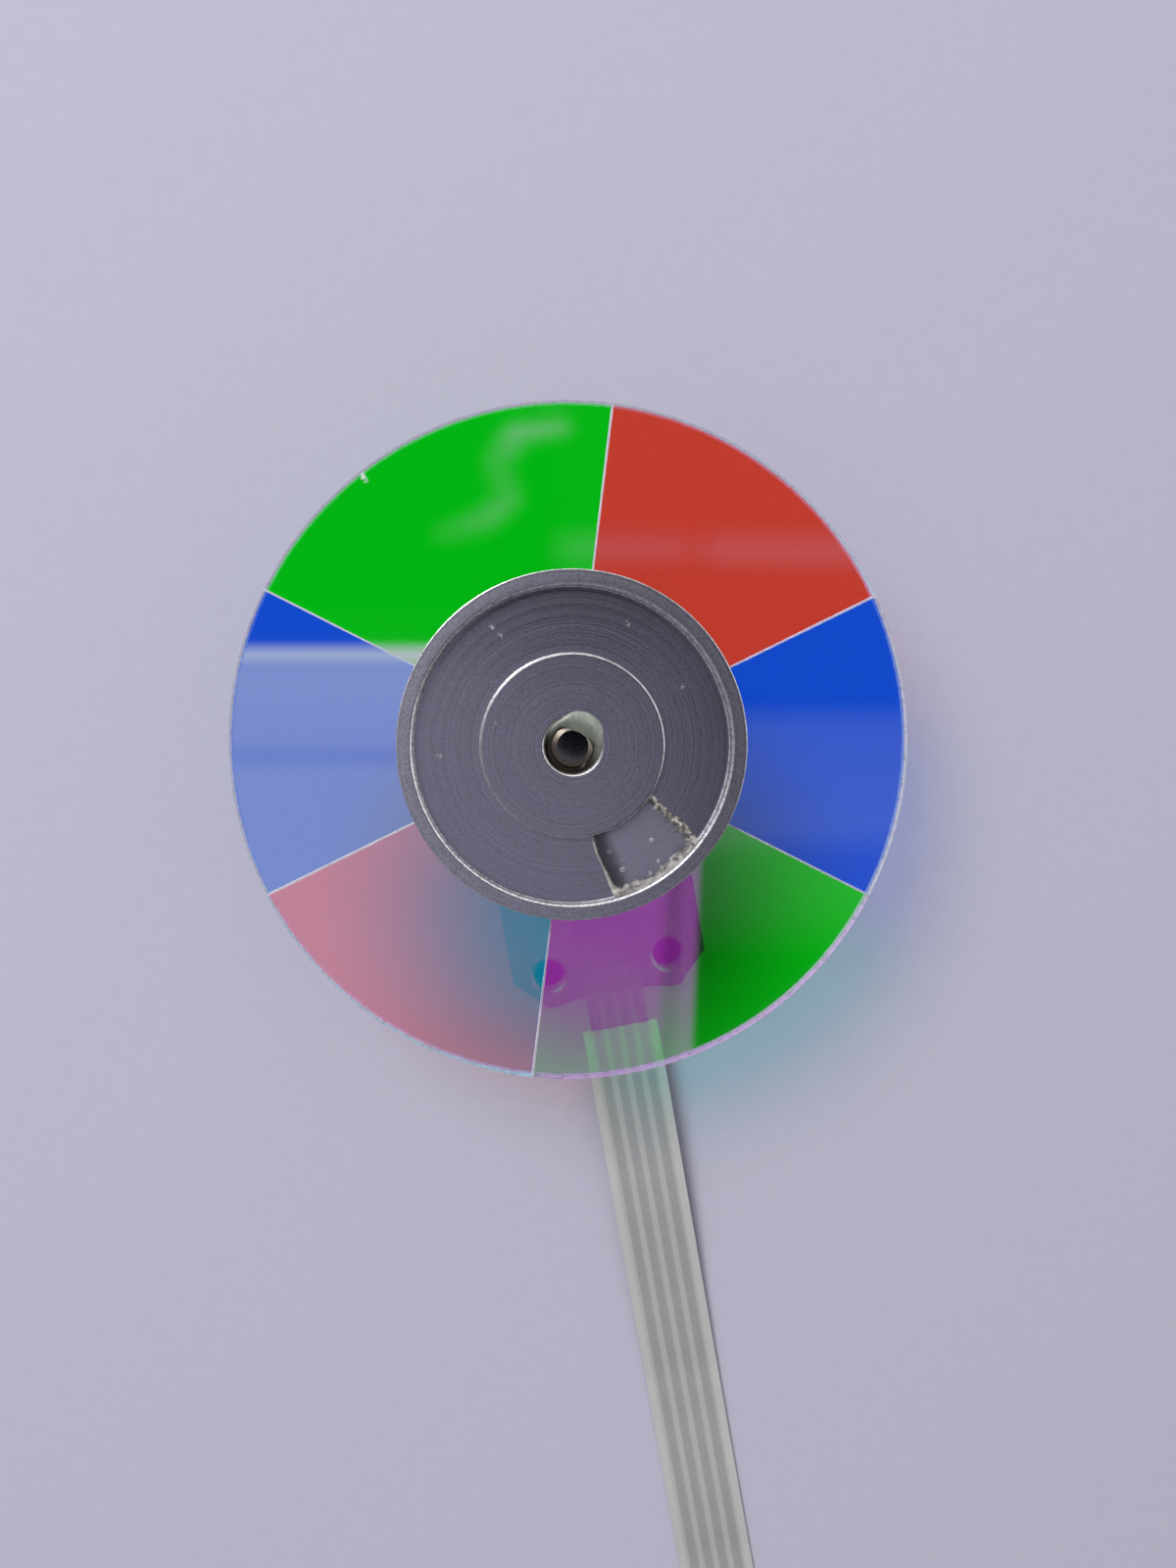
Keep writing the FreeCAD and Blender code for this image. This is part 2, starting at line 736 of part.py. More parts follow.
def round_route(points):
    """Straight runs joined by tangent arcs, as one wire, with the radius of each arc."""
    edges = []
    radii = []
    here = points[0]
    for before, corner, after in zip(points, points[1:], points[2:]):
        coming = (corner - before).normalize()
        going = (after - corner).normalize()
        turn = coming.getAngle(going)
        reach = ARC_SHARE * min(before.distanceToPoint(corner), corner.distanceToPoint(after))
        radius = reach / math.tan(turn / 2)
        start = corner - coming * reach
        end = corner + going * reach
        inward = (going - coming).normalize()
        centre = corner + inward * (radius / math.cos(turn / 2))
        middle = centre - inward * radius
        edges.append(Part.LineSegment(here, start).toShape())
        edges.append(Part.Arc(start, middle, end).toShape())
        radii.append(radius)
        here = end
    edges.append(Part.LineSegment(here, points[-1]).toShape())
    return Part.Wire(edges), radii


def new_feature(label, shape, placement=Placement()):
    """A part whose shape is made directly."""
    feature = doc.addObject("Part::Feature", label)
    feature.Label = label
    feature.Shape = shape
    feature.Placement = placement
    return feature


def make_ribbon_cable():
    """The flat cable and the two pieces of its plug end."""
    pitch = number_of("conductor_pitch")
    count = int(number_of("conductor_count"))
    width = (count + 1) * pitch
    thick = number_of("cable_thick")
    bare = number_of("conductor_thick")
    exit_point = Vector(0, -total_of("tail_reach"), number_of("plate_thick") - bare / 2)
    points = [exit_point] + [Vector(side, -reach, height) for side, reach, height in CABLE_ROUTE]
    route, radii = round_route(points)
    print("cable length", round(route.Length, 2), "arc radii", [round(radius, 1) for radius in radii])
    start = points[1] - points[0]
    section = Part.makePlane(width, thick, Vector(-width / 2, -thick / 2, 0))
    section.Placement = Placement(exit_point, Rotation(Vector(1, 0, 0), Vector(0, 0, 1), start * -1, "ZXY"))
    cable = new_feature("ribbon_cable", route.makePipeShell([section.OuterWire], True, False))
    print("cable volume over section times length", cable.Shape.Volume / (width * thick * route.Length))

    heading = points[-1] - points[-2]
    end = Placement(points[-1], Rotation(Vector(0, 0, 1), math.degrees(math.atan2(heading.x, -heading.y))))
    stiff = number_of("stiffener_thick")
    length = number_of("stiffener_length")
    contact = number_of("contact_length")
    film = Part.makeBox(width, length, stiff, Vector(-width / 2, -contact, thick / 2))
    stiffener = new_feature("cable_stiffener", film, end)
    wide = number_of("conductor_width")
    strips = []
    for index in range(count):
        left = (index - (count - 1) / 2) * pitch - wide / 2
        strips.append(Part.makeBox(wide, contact, bare, Vector(left, -contact, thick / 2 - bare)))
    contacts = new_feature("cable_contacts", Part.makeCompound(strips), end)
    return [cable, stiffener, contacts]


clamp_ring = make_clamp_ring()
parts = [
    make_base_plate(),
    make_bearing_sleeve(),
    make_disc("bearing_bush", "bush_bore", "bush_radius", "bush_foot", "bush_top"),
    make_disc("oil_guard", "shaft_radius + guard_gap", "bush_radius", "bush_top", "guard_top"),
    make_disc("thrust_plate", "0", "thrust_radius", "thrust_foot", "thrust_top"),
    make_disc("sleeve_cap", "0", "thrust_radius", "sleeve_inset", "thrust_foot"),
    make_stator_core(),
    make_insulator("lower_insulator", "collar_top - insulator_cap"),
    make_insulator("upper_insulator", "core_top"),
    make_coil_windings(),
    make_winding_leads(),
    make_lead_solder(),
    make_circuit_board(),
    make_cable_conductor_ends(),
    *make_ribbon_cable(),
    make_shaft(),
    make_stop_ring(),
    make_rotor_hub(),
    make_rotor_yoke(),
    make_rotor_magnet(),
    make_timing_mark(),
    *make_filters(),
    make_filter_adhesive(),
    clamp_ring,
    make_shaft_adhesive(clamp_ring),
    make_balance_resin(clamp_ring),
]
doc.recompute()

for item in doc.Objects:
    failed = {"Invalid", "Error"} & set(item.State)
    if failed:
        raise RuntimeError(f"{item.Name} of {item.Label} is {sorted(failed)}")
os.makedirs("parts", exist_ok=True)
for part in parts:
    if part.Shape.isNull() or not part.Shape.isValid():
        raise RuntimeError(f"{part.Label} has no valid shape")
    part.Shape.exportStep(f"parts/{part.Label}.step")
print(len(parts), "parts written")
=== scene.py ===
# %% [markdown]
# # A projector's colour wheel
# Six coated glass sectors sit on a turned aluminium hub that a small flat motor spins. The motor stands
# on a milled plate, and a flat cable leads away from it over the table. The CAD model gives every piece
# its place, and this lesson gives each piece its look. It works from the table up and the cable comes
# first, because the cable decides how large the whole model is.

import math

import bmesh
import bpy
from mathutils import Matrix, Vector, noise


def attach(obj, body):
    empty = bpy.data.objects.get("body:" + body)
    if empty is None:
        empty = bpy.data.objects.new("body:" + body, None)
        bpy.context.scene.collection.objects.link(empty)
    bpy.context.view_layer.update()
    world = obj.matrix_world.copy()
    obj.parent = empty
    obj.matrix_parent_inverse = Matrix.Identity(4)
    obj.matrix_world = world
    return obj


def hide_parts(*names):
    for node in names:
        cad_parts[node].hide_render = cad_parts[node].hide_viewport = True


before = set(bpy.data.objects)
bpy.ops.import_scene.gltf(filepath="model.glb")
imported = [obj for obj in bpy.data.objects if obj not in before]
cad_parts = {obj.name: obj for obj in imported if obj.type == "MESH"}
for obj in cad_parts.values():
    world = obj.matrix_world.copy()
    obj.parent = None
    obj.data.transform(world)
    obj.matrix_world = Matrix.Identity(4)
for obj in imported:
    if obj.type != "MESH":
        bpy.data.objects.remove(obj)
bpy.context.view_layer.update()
print("CAD nodes:", len(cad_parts))

# %% [markdown]
# ## Lengths, colours and nodes
# The CAD model is in metres and its pieces are a few millimetres across, so every length here is written
# in millimetres and multiplied once. A colour is written as the hex value that a picture editor shows.
# Blender's sockets want linear light, so one function converts it.

# %% Millimetres and hex colours
MM = 0.001


def metres(*millimetres):
    """A place given in millimetres, as a vector in metres."""
    return Vector([value * MM for value in millimetres])


def colour(hex_value):
    """An sRGB hex colour as linear red, green, blue and alpha."""
    channels = [int(hex_value[at:at + 2], 16) / 255 for at in (1, 3, 5)]
    linear = [c / 12.92 if c <= 0.04045 else ((c + 0.055) / 1.055) ** 2.4 for c in channels]
    return (*linear, 1.0)


print("mid grey in linear light:", round(colour("#808080")[0], 3))

# %% [markdown]
# A material is a small graph. One function adds a node, sets its options and fills its inputs. An input
# given as a socket is linked, and any other value is written on the input itself. Noise nodes stop at a
# scale of 1000, so patterns read Object coordinates that a Mapping node has turned into millimetres.

# %% One function for every node


def add_node(tree, kind, options=None, inputs=None):
    """Adds a shader node, sets its options, and links or fills its inputs."""
    made = tree.nodes.new("ShaderNode" + kind)
    for name, value in (options or {}).items():
        setattr(made, name, value)
    for name, value in (inputs or {}).items():
        if isinstance(value, bpy.types.NodeSocket):
            tree.links.new(value, made.inputs[name])
        else:
            made.inputs[name].default_value = value
    return made


def start_material(name):
    """An empty material and its Object coordinates in millimetres."""
    material = bpy.data.materials.new(name)
    material.use_nodes = True
    tree = material.node_tree
    tree.nodes.clear()
    place = add_node(tree, "TexCoord")
    scaled = add_node(tree, "Mapping", {}, {"Vector": place.outputs["Object"], "Scale": (1 / MM,) * 3})
    return material, tree, scaled.outputs["Vector"]


def end_material(material, shader):
    """Joins the last shader to the output and gives the material back."""
    tree = material.node_tree
    add_node(tree, "OutputMaterial", {}, {"Surface": shader})
    print("material", material.name, "has", len(tree.nodes), "nodes")
    return material


# %% [markdown]
# ## The camera
# The photograph was taken from straight above with a telephone, about 10 cm over the table. The lens
# looks a little towards the cable, and the picture is turned 10 degrees to the motor plate. The camera
# stands where the disc, the clamp ring and the shaft end all fall on their places in the picture. A wide
# lens this near shows the tall parts larger than the table, which is why the distance matters.

# %% Camera above the wheel
CAMERA_PLACE = metres(-1.978, 2.823, 98.076)
CAMERA_AIM = metres(0.648, -3.016, 11.2)
PICTURE_UP = Vector((0.17556, 0.98259, 0.0))
LENS_MM = 27.1
PICTURE_TURN = math.radians(10.0)

backwards = (CAMERA_PLACE - CAMERA_AIM).normalized()
rightwards = PICTURE_UP.cross(backwards).normalized()
upwards = backwards.cross(rightwards)
camera_turn = Matrix((rightwards, upwards, backwards)).transposed()

camera = bpy.data.objects.new("camera", bpy.data.cameras.new("camera"))
bpy.context.collection.objects.link(camera)
camera.matrix_world = Matrix.Translation(CAMERA_PLACE) @ camera_turn.to_4x4()
camera.data.lens = LENS_MM
camera.data.sensor_width = 36.0
camera.data.clip_start = 0.002
bpy.context.scene.camera = camera
print("camera height in mm:", round(camera.location.z / MM, 1))

# %% [markdown]
# Small marks such as bubbles, and the edges of reflections, are placed by their pixel in the photograph.
# The camera is known, so a pixel is a ray, and the ray meets a level plane in one point.

# %% From a pixel to a place
PICTURE_SIZE = (1200, 1600)
PICTURE_LENGTH_MM = 36.0
FOCAL_PX = LENS_MM / PICTURE_LENGTH_MM * PICTURE_SIZE[1]


def pixel_place(right_px, down_px, height):
    """Where the camera's ray through a pixel meets a level plane, in millimetres."""
    right = (right_px - PICTURE_SIZE[0] / 2) / FOCAL_PX
    up = (PICTURE_SIZE[1] / 2 - down_px) / FOCAL_PX
    ray = rightwards * right + upwards * up - backwards
    reach = (CAMERA_PLACE.z / MM - height) / -ray.z
    return CAMERA_PLACE / MM + ray * reach


print("the picture's middle falls on", [round(value, 2) for value in pixel_place(600, 800, 0.0)])

# %% [markdown]
# ## The flat cable's line
# The cable is a flat one with four conductors, so it can bend up and down but hardly sideways. It leaves
# the plate's tongue under the circuit tail, sinks to the table within two centimetres and runs straight
# on. Its line is one smooth NURBS curve through the control points of the CAD route. A script can read
# points from a curve that has no bevel, and both the cable and its length come from those points.

# %% Route of the cable
CABLE_ROUTE_MM = [
    (0.0, -23.8, 1.95),
    (0.0, -31.3, 1.90),
    (0.0, -40.8, 1.20),
    (0.0, -50.8, 0.38),
    (0.0, -62.8, 0.18),
    (0.0, -84.8, 0.17),
    (0.5, -115.8, 0.17),
    (1.8, -143.7, 0.17),
]

line = bpy.data.curves.new("cable_line", "CURVE")
line.dimensions = "3D"
line.resolution_u = 16
spline = line.splines.new("NURBS")
spline.points.add(len(CABLE_ROUTE_MM) - 1)
for point, place in zip(spline.points, CABLE_ROUTE_MM):
    point.co = (*metres(*place), 1.0)
spline.order_u = 3
spline.use_endpoint_u = True

line_object = bpy.data.objects.new("cable_line", line)
bpy.context.collection.objects.link(line_object)
bpy.context.view_layer.update()
line_mesh = bpy.data.meshes.new_from_object(line_object)
cable_path = [vertex.co.copy() for vertex in line_mesh.vertices]
bpy.data.objects.remove(line_object)
bpy.data.meshes.remove(line_mesh)
cable_length = sum((b - a).length for a, b in zip(cable_path, cable_path[1:]))
print("cable line:", len(cable_path), "points,", round(cable_length / MM, 2), "mm")

# %% [markdown]
# ## From a bmesh to a piece
# Every new piece ends in the same way: its doubles are merged, its faces are turned outwards, and it
# rides on the body that carries it. Edges sharper than 12 degrees stay crisp, so that a flat face stays
# flat up to its bevel, while the rest is shaded smooth. The object stays at the origin, so its place is
# in its mesh, as with the CAD pieces.

# %% Finish a piece
CRISP_ANGLE = math.radians(12)
WELD = 0.0005 * MM


def tidy_shape(shape):
    """Merges doubles and turns all faces outwards."""
    bmesh.ops.remove_doubles(shape, verts=shape.verts, dist=WELD)
    bmesh.ops.recalc_face_normals(shape, faces=shape.faces)


def make_piece(name, shape, materials, body, node=None):
    """Turns a bmesh into an object with its materials, on its body, in place of a CAD node."""
    tidy_shape(shape)
    mesh = bpy.data.meshes.new(name)
    shape.to_mesh(mesh)
    shape.free()
    for material in materials:
        mesh.materials.append(material)
    mesh.shade_smooth()
    mesh.set_sharp_from_angle(angle=CRISP_ANGLE)
    piece = bpy.data.objects.new(name, mesh)
    bpy.context.collection.objects.link(piece)
    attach(piece, body)
    if node:
        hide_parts(node)
    print(name, "has", len(mesh.polygons), "faces")
    return piece


# %% [markdown]
# ## Cable film
# The cable is four tinned strips between two polyester films. The strips show through as greyer stripes
# 1.25 mm apart, and the film is pale and a little warm at its free margins. The pattern follows the
# cable, so it reads the mesh's own across and along attributes, which the next cell writes, and not the
# room's coordinates. The film is satin, so the roughness stays near 0.4.

# %% Cable film material
CONDUCTOR_PITCH = 1.25
CONDUCTOR_HALF = 0.36
STRIPE_SOFTNESS = 0.1

cable_film, tree, place = start_material("laminated_polyester_film")
across = add_node(tree, "Attribute", {"attribute_name": "across"})
along = add_node(tree, "Attribute", {"attribute_name": "along"})
pitches = add_node(tree, "Math", {"operation": "DIVIDE"}, {0: across.outputs["Fac"], 1: CONDUCTOR_PITCH})
within = add_node(tree, "Math", {"operation": "FRACT"}, {0: pitches.outputs[0]})
centred = add_node(tree, "Math", {"operation": "SUBTRACT"}, {0: within.outputs[0], 1: 0.5})
aside = add_node(tree, "Math", {"operation": "ABSOLUTE"}, {0: centred.outputs[0]})
stripe = add_node(
    tree,
    "MapRange",
    {"interpolation_type": "SMOOTHSTEP"},
    {
        "Value": aside.outputs[0],
        "From Min": (CONDUCTOR_HALF - STRIPE_SOFTNESS) / CONDUCTOR_PITCH,
        "From Max": (CONDUCTOR_HALF + STRIPE_SOFTNESS) / CONDUCTOR_PITCH,
        "To Min": 1.0,
        "To Max": 0.0,
    },
)
outward = add_node(tree, "Math", {"operation": "ABSOLUTE"}, {0: across.outputs["Fac"]})
inner = add_node(tree, "Math", {"operation": "LESS_THAN"}, {0: outward.outputs[0], 1: 2 * CONDUCTOR_PITCH})
strip = add_node(tree, "Math", {"operation": "MULTIPLY"}, {0: stripe.outputs[0], 1: inner.outputs[0]})
cloud = add_node(
    tree,
    "TexNoise",
    {"noise_dimensions": "1D"},
    {"W": along.outputs["Fac"], "Scale": 0.12, "Detail": 2.0},
)
paler = add_node(
    tree,
    "Mix",
    {"data_type": "RGBA"},
    {0: inner.outputs[0], 6: colour("#BFBCB9"), 7: colour("#B2B1B0")},
)
striped = add_node(
    tree,
    "Mix",
    {"data_type": "RGBA"},
    {0: strip.outputs[0], 6: paler.outputs[2], 7: colour("#9C9C9C")},
)
clouded = add_node(
    tree,
    "Mix",
    {"data_type": "RGBA", "blend_type": "SOFT_LIGHT"},
    {0: 0.25, 6: striped.outputs[2], 7: cloud.outputs["Fac"]},
)
shader = add_node(
    tree,
    "BsdfPrincipled",
    {},
    {"Base Color": clouded.outputs[2], "Roughness": 0.42, "IOR": 1.5},
)
end_material(cable_film, shader.outputs[0])

# %% [markdown]
# ## The cable's body
# The section is a flat strip that is a little thicker over each conductor. It could be a curve with a
# bevel object, but a mesh keeps the two attributes that the stripes need. The section's face is pushed
# along the path with one extrusion per point, and a matrix turns it to the path's direction each time.

# %% Section of the cable
CABLE_WIDTH = 6.25
CABLE_HALF_THICK = 0.15
FILM_HALF_THICK = 0.11
CONDUCTOR_PLACES = (-1.875, -0.625, 0.625, 1.875)
SLOPE = 0.08

upper = [(-CABLE_WIDTH / 2, FILM_HALF_THICK)]
for centre in CONDUCTOR_PLACES:
    upper.append((centre - CONDUCTOR_HALF - SLOPE, FILM_HALF_THICK))
    upper.append((centre - CONDUCTOR_HALF, CABLE_HALF_THICK))
    upper.append((centre + CONDUCTOR_HALF, CABLE_HALF_THICK))
    upper.append((centre + CONDUCTOR_HALF + SLOPE, FILM_HALF_THICK))
upper.append((CABLE_WIDTH / 2, FILM_HALF_THICK))
section = upper + [(side, -height) for side, height in reversed(upper)]
print("points in the cable's section:", len(section))

# %% Extrude the cable along its line


def path_frames(points):
    """A matrix at each point of a path, with X to the side and Y along the path."""
    frames = []
    for index, point in enumerate(points):
        before = points[max(index - 1, 0)]
        after = points[min(index + 1, len(points) - 1)]
        forward = (after - before).normalized()
        side = forward.cross(Vector((0, 0, 1))).normalized()
        rise = side.cross(forward)
        turn = Matrix((side, forward, rise)).transposed().to_4x4()
        frames.append(Matrix.Translation(point) @ turn)
    return frames


cable = bmesh.new()
across_layer = cable.verts.layers.float.new("across")
along_layer = cable.verts.layers.float.new("along")
corners = [cable.verts.new(metres(side, 0, height)) for side, height in section]
for corner in corners:
    corner[across_layer] = corner.co.x / MM
front = cable.faces.new(corners)
frames = path_frames(cable_path)
bmesh.ops.transform(cable, matrix=frames[0], verts=front.verts)
travelled = 0.0
for here, there in zip(frames, frames[1:]):
    grown = bmesh.ops.extrude_face_region(cable, geom=[front])
    front = next(item for item in grown["geom"] if isinstance(item, bmesh.types.BMFace))
    bmesh.ops.transform(cable, matrix=there @ here.inverted(), verts=front.verts)
    travelled += (there.translation - here.translation).length / MM
    for corner in front.verts:
        corner[along_layer] = travelled
ribbon = make_piece("ribbon_cable_film", cable, [cable_film], "base", "ribbon_cable")

# %% [markdown]
# ## Turning a profile
# The hub parts are made on a lathe, and spin does in Blender what a lathe does: it sweeps a profile round
# an axis. A full spin merges its last ring with its first. Machined corners are never perfectly sharp, so
# the corner rings get a small bevel, which is what catches the light in the photograph.

# %% Lathe and edge break
FULL_TURN = 2 * math.pi
AXIS = (0, 0, 1)
SHARP_CORNER = math.radians(20)


def turned(profile, steps=192):
    """Spins a closed list of (radius, height) in millimetres once round the spindle axis."""
    shape = bmesh.new()
    points = [shape.verts.new(metres(radius, 0, height)) for radius, height in profile]
    edges = [shape.edges.new(pair) for pair in zip(points, points[1:] + points[:1])]
    bmesh.ops.spin(
        shape,
        geom=points + edges,
        cent=(0, 0, 0),
        axis=AXIS,
        angle=FULL_TURN,
        steps=steps,
        use_merge=True,
    )
    tidy_shape(shape)
    return shape


def break_edges(shape, width, segments=2):
    """Rounds every edge that is sharper than 20 degrees, by a width in millimetres."""
    sharp = [edge for edge in shape.edges if edge.is_manifold and edge.calc_face_angle() > SHARP_CORNER]
    bmesh.ops.bevel(
        shape,
        geom=sharp,
        offset=width * MM,
        offset_type="OFFSET",
        affect="EDGES",
        segments=segments,
        profile=0.5,
        material=-1,
        clamp_overlap=True,
    )
    return len(sharp)


# %% [markdown]
# ## Turned aluminium
# The clamp ring and the hub are turned from aluminium bar. The tool leaves rings a few hundredths of a
# millimetre apart, so the metal looks grained along circles and brighter or darker with the direction of
# the light. The real pitch is too fine for the picture, so the rings here are drawn 0.17 mm apart and wider
# bands vary the gloss. Their pattern reads the distance from the axis. The flat rim was faced with a
# coarser feed than the groove, so it is the duller of two grades of one finish. Bare metal is fully
# metallic.

# %% Distance from the spindle axis


def axis_distance(tree, place):
    """How far a point is from the spindle axis, in millimetres."""
    flat = add_node(tree, "VectorMath", {"operation": "MULTIPLY"}, {0: place, 1: (1.0, 1.0, 0.0)})
    reach = add_node(tree, "VectorMath", {"operation": "LENGTH"}, {0: flat.outputs[0]})
    return reach.outputs["Value"]


def smooth_share(tree, value, low, high, at_low, at_high):
    """A smooth passage from one value to another between two limits."""
    passage = add_node(
        tree,
        "MapRange",
        {"interpolation_type": "SMOOTHSTEP"},
        {"Value": value, "From Min": low, "From Max": high, "To Min": at_low, "To Max": at_high},
    )
    return passage.outputs["Result"]


# %% [markdown]
# Handling has left a few pale nicks in the groove. They are real marks of this one wheel, so each is
# placed by its pixel in the photograph. One noise bends the coordinates, which makes the outlines ragged,
# and a finer one breaks each nick up.

# %% Nicks, placed by the photograph
GROOVE_FLOOR = 12.05
NICKS_PX = [
    (640.0, 637.0, 0.36),
    (447.0, 771.0, 0.30),
    (503.0, 638.0, 0.34),
    (512.0, 648.0, 0.22),
    (503.0, 696.0, 0.22),
    (697.0, 700.0, 0.34),
    (505.0, 738.0, 0.18),
]


def nick_share(tree, place):
    """1 inside a nick and 0 outside all of them."""
    bend = add_node(tree, "TexNoise", {}, {"Vector": place, "Scale": 2.6, "Detail": 3.0})
    shift = add_node(
        tree,
        "VectorMath",
        {"operation": "MULTIPLY_ADD"},
        {0: bend.outputs["Color"], 1: (0.9, 0.9, 0.0), 2: place},
    )
    level = add_node(tree, "VectorMath", {"operation": "MULTIPLY"}, {0: shift.outputs[0], 1: (1.0, 1.0, 0.0)})
    deepest = 0.0
    for right_px, down_px, size in NICKS_PX:
        spot = pixel_place(right_px, down_px, GROOVE_FLOOR)
        centre = Vector((spot.x + 0.45, spot.y + 0.45, 0.0))
        away = add_node(tree, "VectorMath", {"operation": "DISTANCE"}, {0: level.outputs[0], 1: centre})
        struck = smooth_share(tree, away.outputs["Value"], 0.1 * size, size, 0.55, 0.0)
        joined = add_node(tree, "Math", {"operation": "MAXIMUM"}, {0: struck, 1: deepest})
        deepest = joined.outputs[0]
    crumbs = add_node(tree, "TexNoise", {}, {"Vector": place, "Scale": 7.0, "Detail": 2.0})
    broken = smooth_share(tree, crumbs.outputs["Fac"], 0.42, 0.58, 0.0, 1.0)
    nick = add_node(tree, "Math", {"operation": "MULTIPLY"}, {0: deepest, 1: broken})
    return nick.outputs[0]


# %% Turned aluminium material
RING_PITCH = 0.17
BAND_PITCH = 0.9
GRAIN_SIZE = 0.13


def turned_metal(name, dark, pale, gloss, ring_share, relief_mm):
    """Aluminium from a lathe: rings, grain, bands of gloss and the nicks."""
    material, tree, place = start_material(name)
    reach = axis_distance(tree, place)
    rings = add_node(
        tree,
        "TexNoise",
        {"noise_dimensions": "1D"},
        {"W": reach, "Scale": 1 / RING_PITCH, "Detail": 3.0, "Roughness": 0.7},
    )
    bands = add_node(
        tree,
        "TexNoise",
        {"noise_dimensions": "1D"},
        {"W": reach, "Scale": 1 / BAND_PITCH, "Detail": 2.0},
    )
    grain = add_node(tree, "TexNoise", {}, {"Vector": place, "Scale": 1 / GRAIN_SIZE, "Detail": 3.0})
    marks = add_node(
        tree,
        "Mix",
        {"data_type": "FLOAT"},
        {0: ring_share, 2: grain.outputs["Fac"], 3: rings.outputs["Fac"]},
    )
    tone = add_node(tree, "MapRange", {}, {"Value": marks.outputs[0], "From Min": 0.3, "From Max": 0.7})
    metal = add_node(
        tree,
        "Mix",
        {"data_type": "RGBA"},
        {0: tone.outputs[0], 6: colour(dark), 7: colour(pale)},
    )
    nick = nick_share(tree, place)
    nicked = add_node(tree, "Mix", {"data_type": "RGBA"}, {0: nick, 6: metal.outputs[2], 7: colour("#F4F4F6")})
    shine = add_node(
        tree,
        "MapRange",
        {},
        {
            "Value": bands.outputs["Fac"],
            "From Min": 0.3,
            "From Max": 0.7,
            "To Min": gloss[0],
            "To Max": gloss[1],
        },
    )
    dulled = add_node(tree, "Mix", {"data_type": "FLOAT"}, {0: nick, 2: shine.outputs[0], 3: 0.6})
    relief = add_node(
        tree,
        "Bump",
        {},
        {"Height": marks.outputs[0], "Strength": 0.5, "Distance": relief_mm * MM},
    )
    shader = add_node(
        tree,
        "BsdfPrincipled",
        {},
        {
            "Base Color": nicked.outputs[2],
            "Metallic": 1.0,
            "Roughness": dulled.outputs[0],
            "Normal": relief.outputs["Normal"],
        },
    )
    return end_material(material, shader.outputs[0])


turned_aluminium = turned_metal("turned_aluminium", "#A19FB2", "#D0CEE4", (0.19, 0.27), 0.5, 0.02)
faced_aluminium = turned_metal("faced_aluminium_rim", "#A19FB0", "#DCDAEC", (0.27, 0.32), 0.2, 0.016)

# %% [markdown]
# Where the tool has broken the corners, the metal is burnished and rougher than the flats, so it catches
# light from all sides. It is much brighter because its pale colour is partly a painted highlight: the
# bright line that these corners show. So it gets a finish of its own.

# %% Burnished corners
burnished_corner_highlight, tree, place = start_material("burnished_aluminium_corner_highlight")
blotches = add_node(tree, "TexNoise", {}, {"Vector": place, "Scale": 3.5, "Detail": 5.0, "Roughness": 0.65})
worn = add_node(tree, "MapRange", {}, {"Value": blotches.outputs["Fac"], "From Min": 0.35, "From Max": 0.6})
# The pale end of this mix is partly a painted highlight along the broken corners.
bright = add_node(
    tree,
    "Mix",
    {"data_type": "RGBA"},
    {0: worn.outputs[0], 6: colour("#B0ADA8"), 7: colour("#F4F2F0")},
)
shader = add_node(
    tree,
    "BsdfPrincipled",
    {},
    {"Base Color": bright.outputs[2], "Metallic": 0.9, "Roughness": 0.3},
)
end_material(burnished_corner_highlight, shader.outputs[0])

# %% [markdown]
# ## Clamp ring
# The ring presses the six sectors onto the hub. Its top has a flat rim, a groove for balancing resin and
# a raised boss with the shaft bore. The CAD profile has its chamfers, and here the small radii that a
# deburring tool leaves are added to them.

# %% Clamp ring
clamp_ring_profile = [
    (2.05, 11.25),
    (12.70, 11.25),
    (12.70, 12.95),
    (11.70, 12.95),
    (11.55, 12.80),
    (11.55, 12.05),
    (6.70, 12.05),
    (6.70, 12.70),
    (6.60, 12.80),
    (2.20, 12.80),
    (2.05, 12.65),
]
RIM_INNER = 11.70
shape = turned(clamp_ring_profile)
for face in shape.faces:
    face.material_index = 1 if face.calc_center_median().xy.length > RIM_INNER * MM else 0
print("clamp ring edges broken:", break_edges(shape, 0.07))
# The bevel faces take the burnished finish, whose paler colour is partly a painted highlight.
for face in shape.faces:
    if 0.2 < face.normal.z < 0.95:
        face.material_index = 2
make_piece(
    "turned_clamp_ring",
    shape,
    [turned_aluminium, faced_aluminium, burnished_corner_highlight],
    "rotor",
    "clamp_ring",
)

# %% [markdown]
# ## Ground steel shaft
# The shaft is a hardened pin, ground and polished, with a chamfered end. Its flat end mirrors the dark
# camera above it, so its roughness is low and fine scratches alone break the mirror. The chamfer is only
# turned, so it is rougher, and on the side of the window it shows as a bright crescent.

# %% Shaft
ground_steel, tree, place = start_material("ground_steel")
scratches = add_node(tree, "TexNoise", {}, {"Vector": place, "Scale": 6.0, "Detail": 4.0})
shine = add_node(
    tree,
    "MapRange",
    {},
    {"Value": scratches.outputs["Fac"], "To Min": 0.03, "To Max": 0.1},
)
tint = add_node(
    tree,
    "Mix",
    {"data_type": "RGBA"},
    {0: scratches.outputs["Fac"], 6: colour("#8C8D96"), 7: colour("#A2A3AC")},
)
shader = add_node(
    tree,
    "BsdfPrincipled",
    {},
    {"Base Color": tint.outputs[2], "Metallic": 1.0, "Roughness": shine.outputs[0]},
)
end_material(ground_steel, shader.outputs[0])

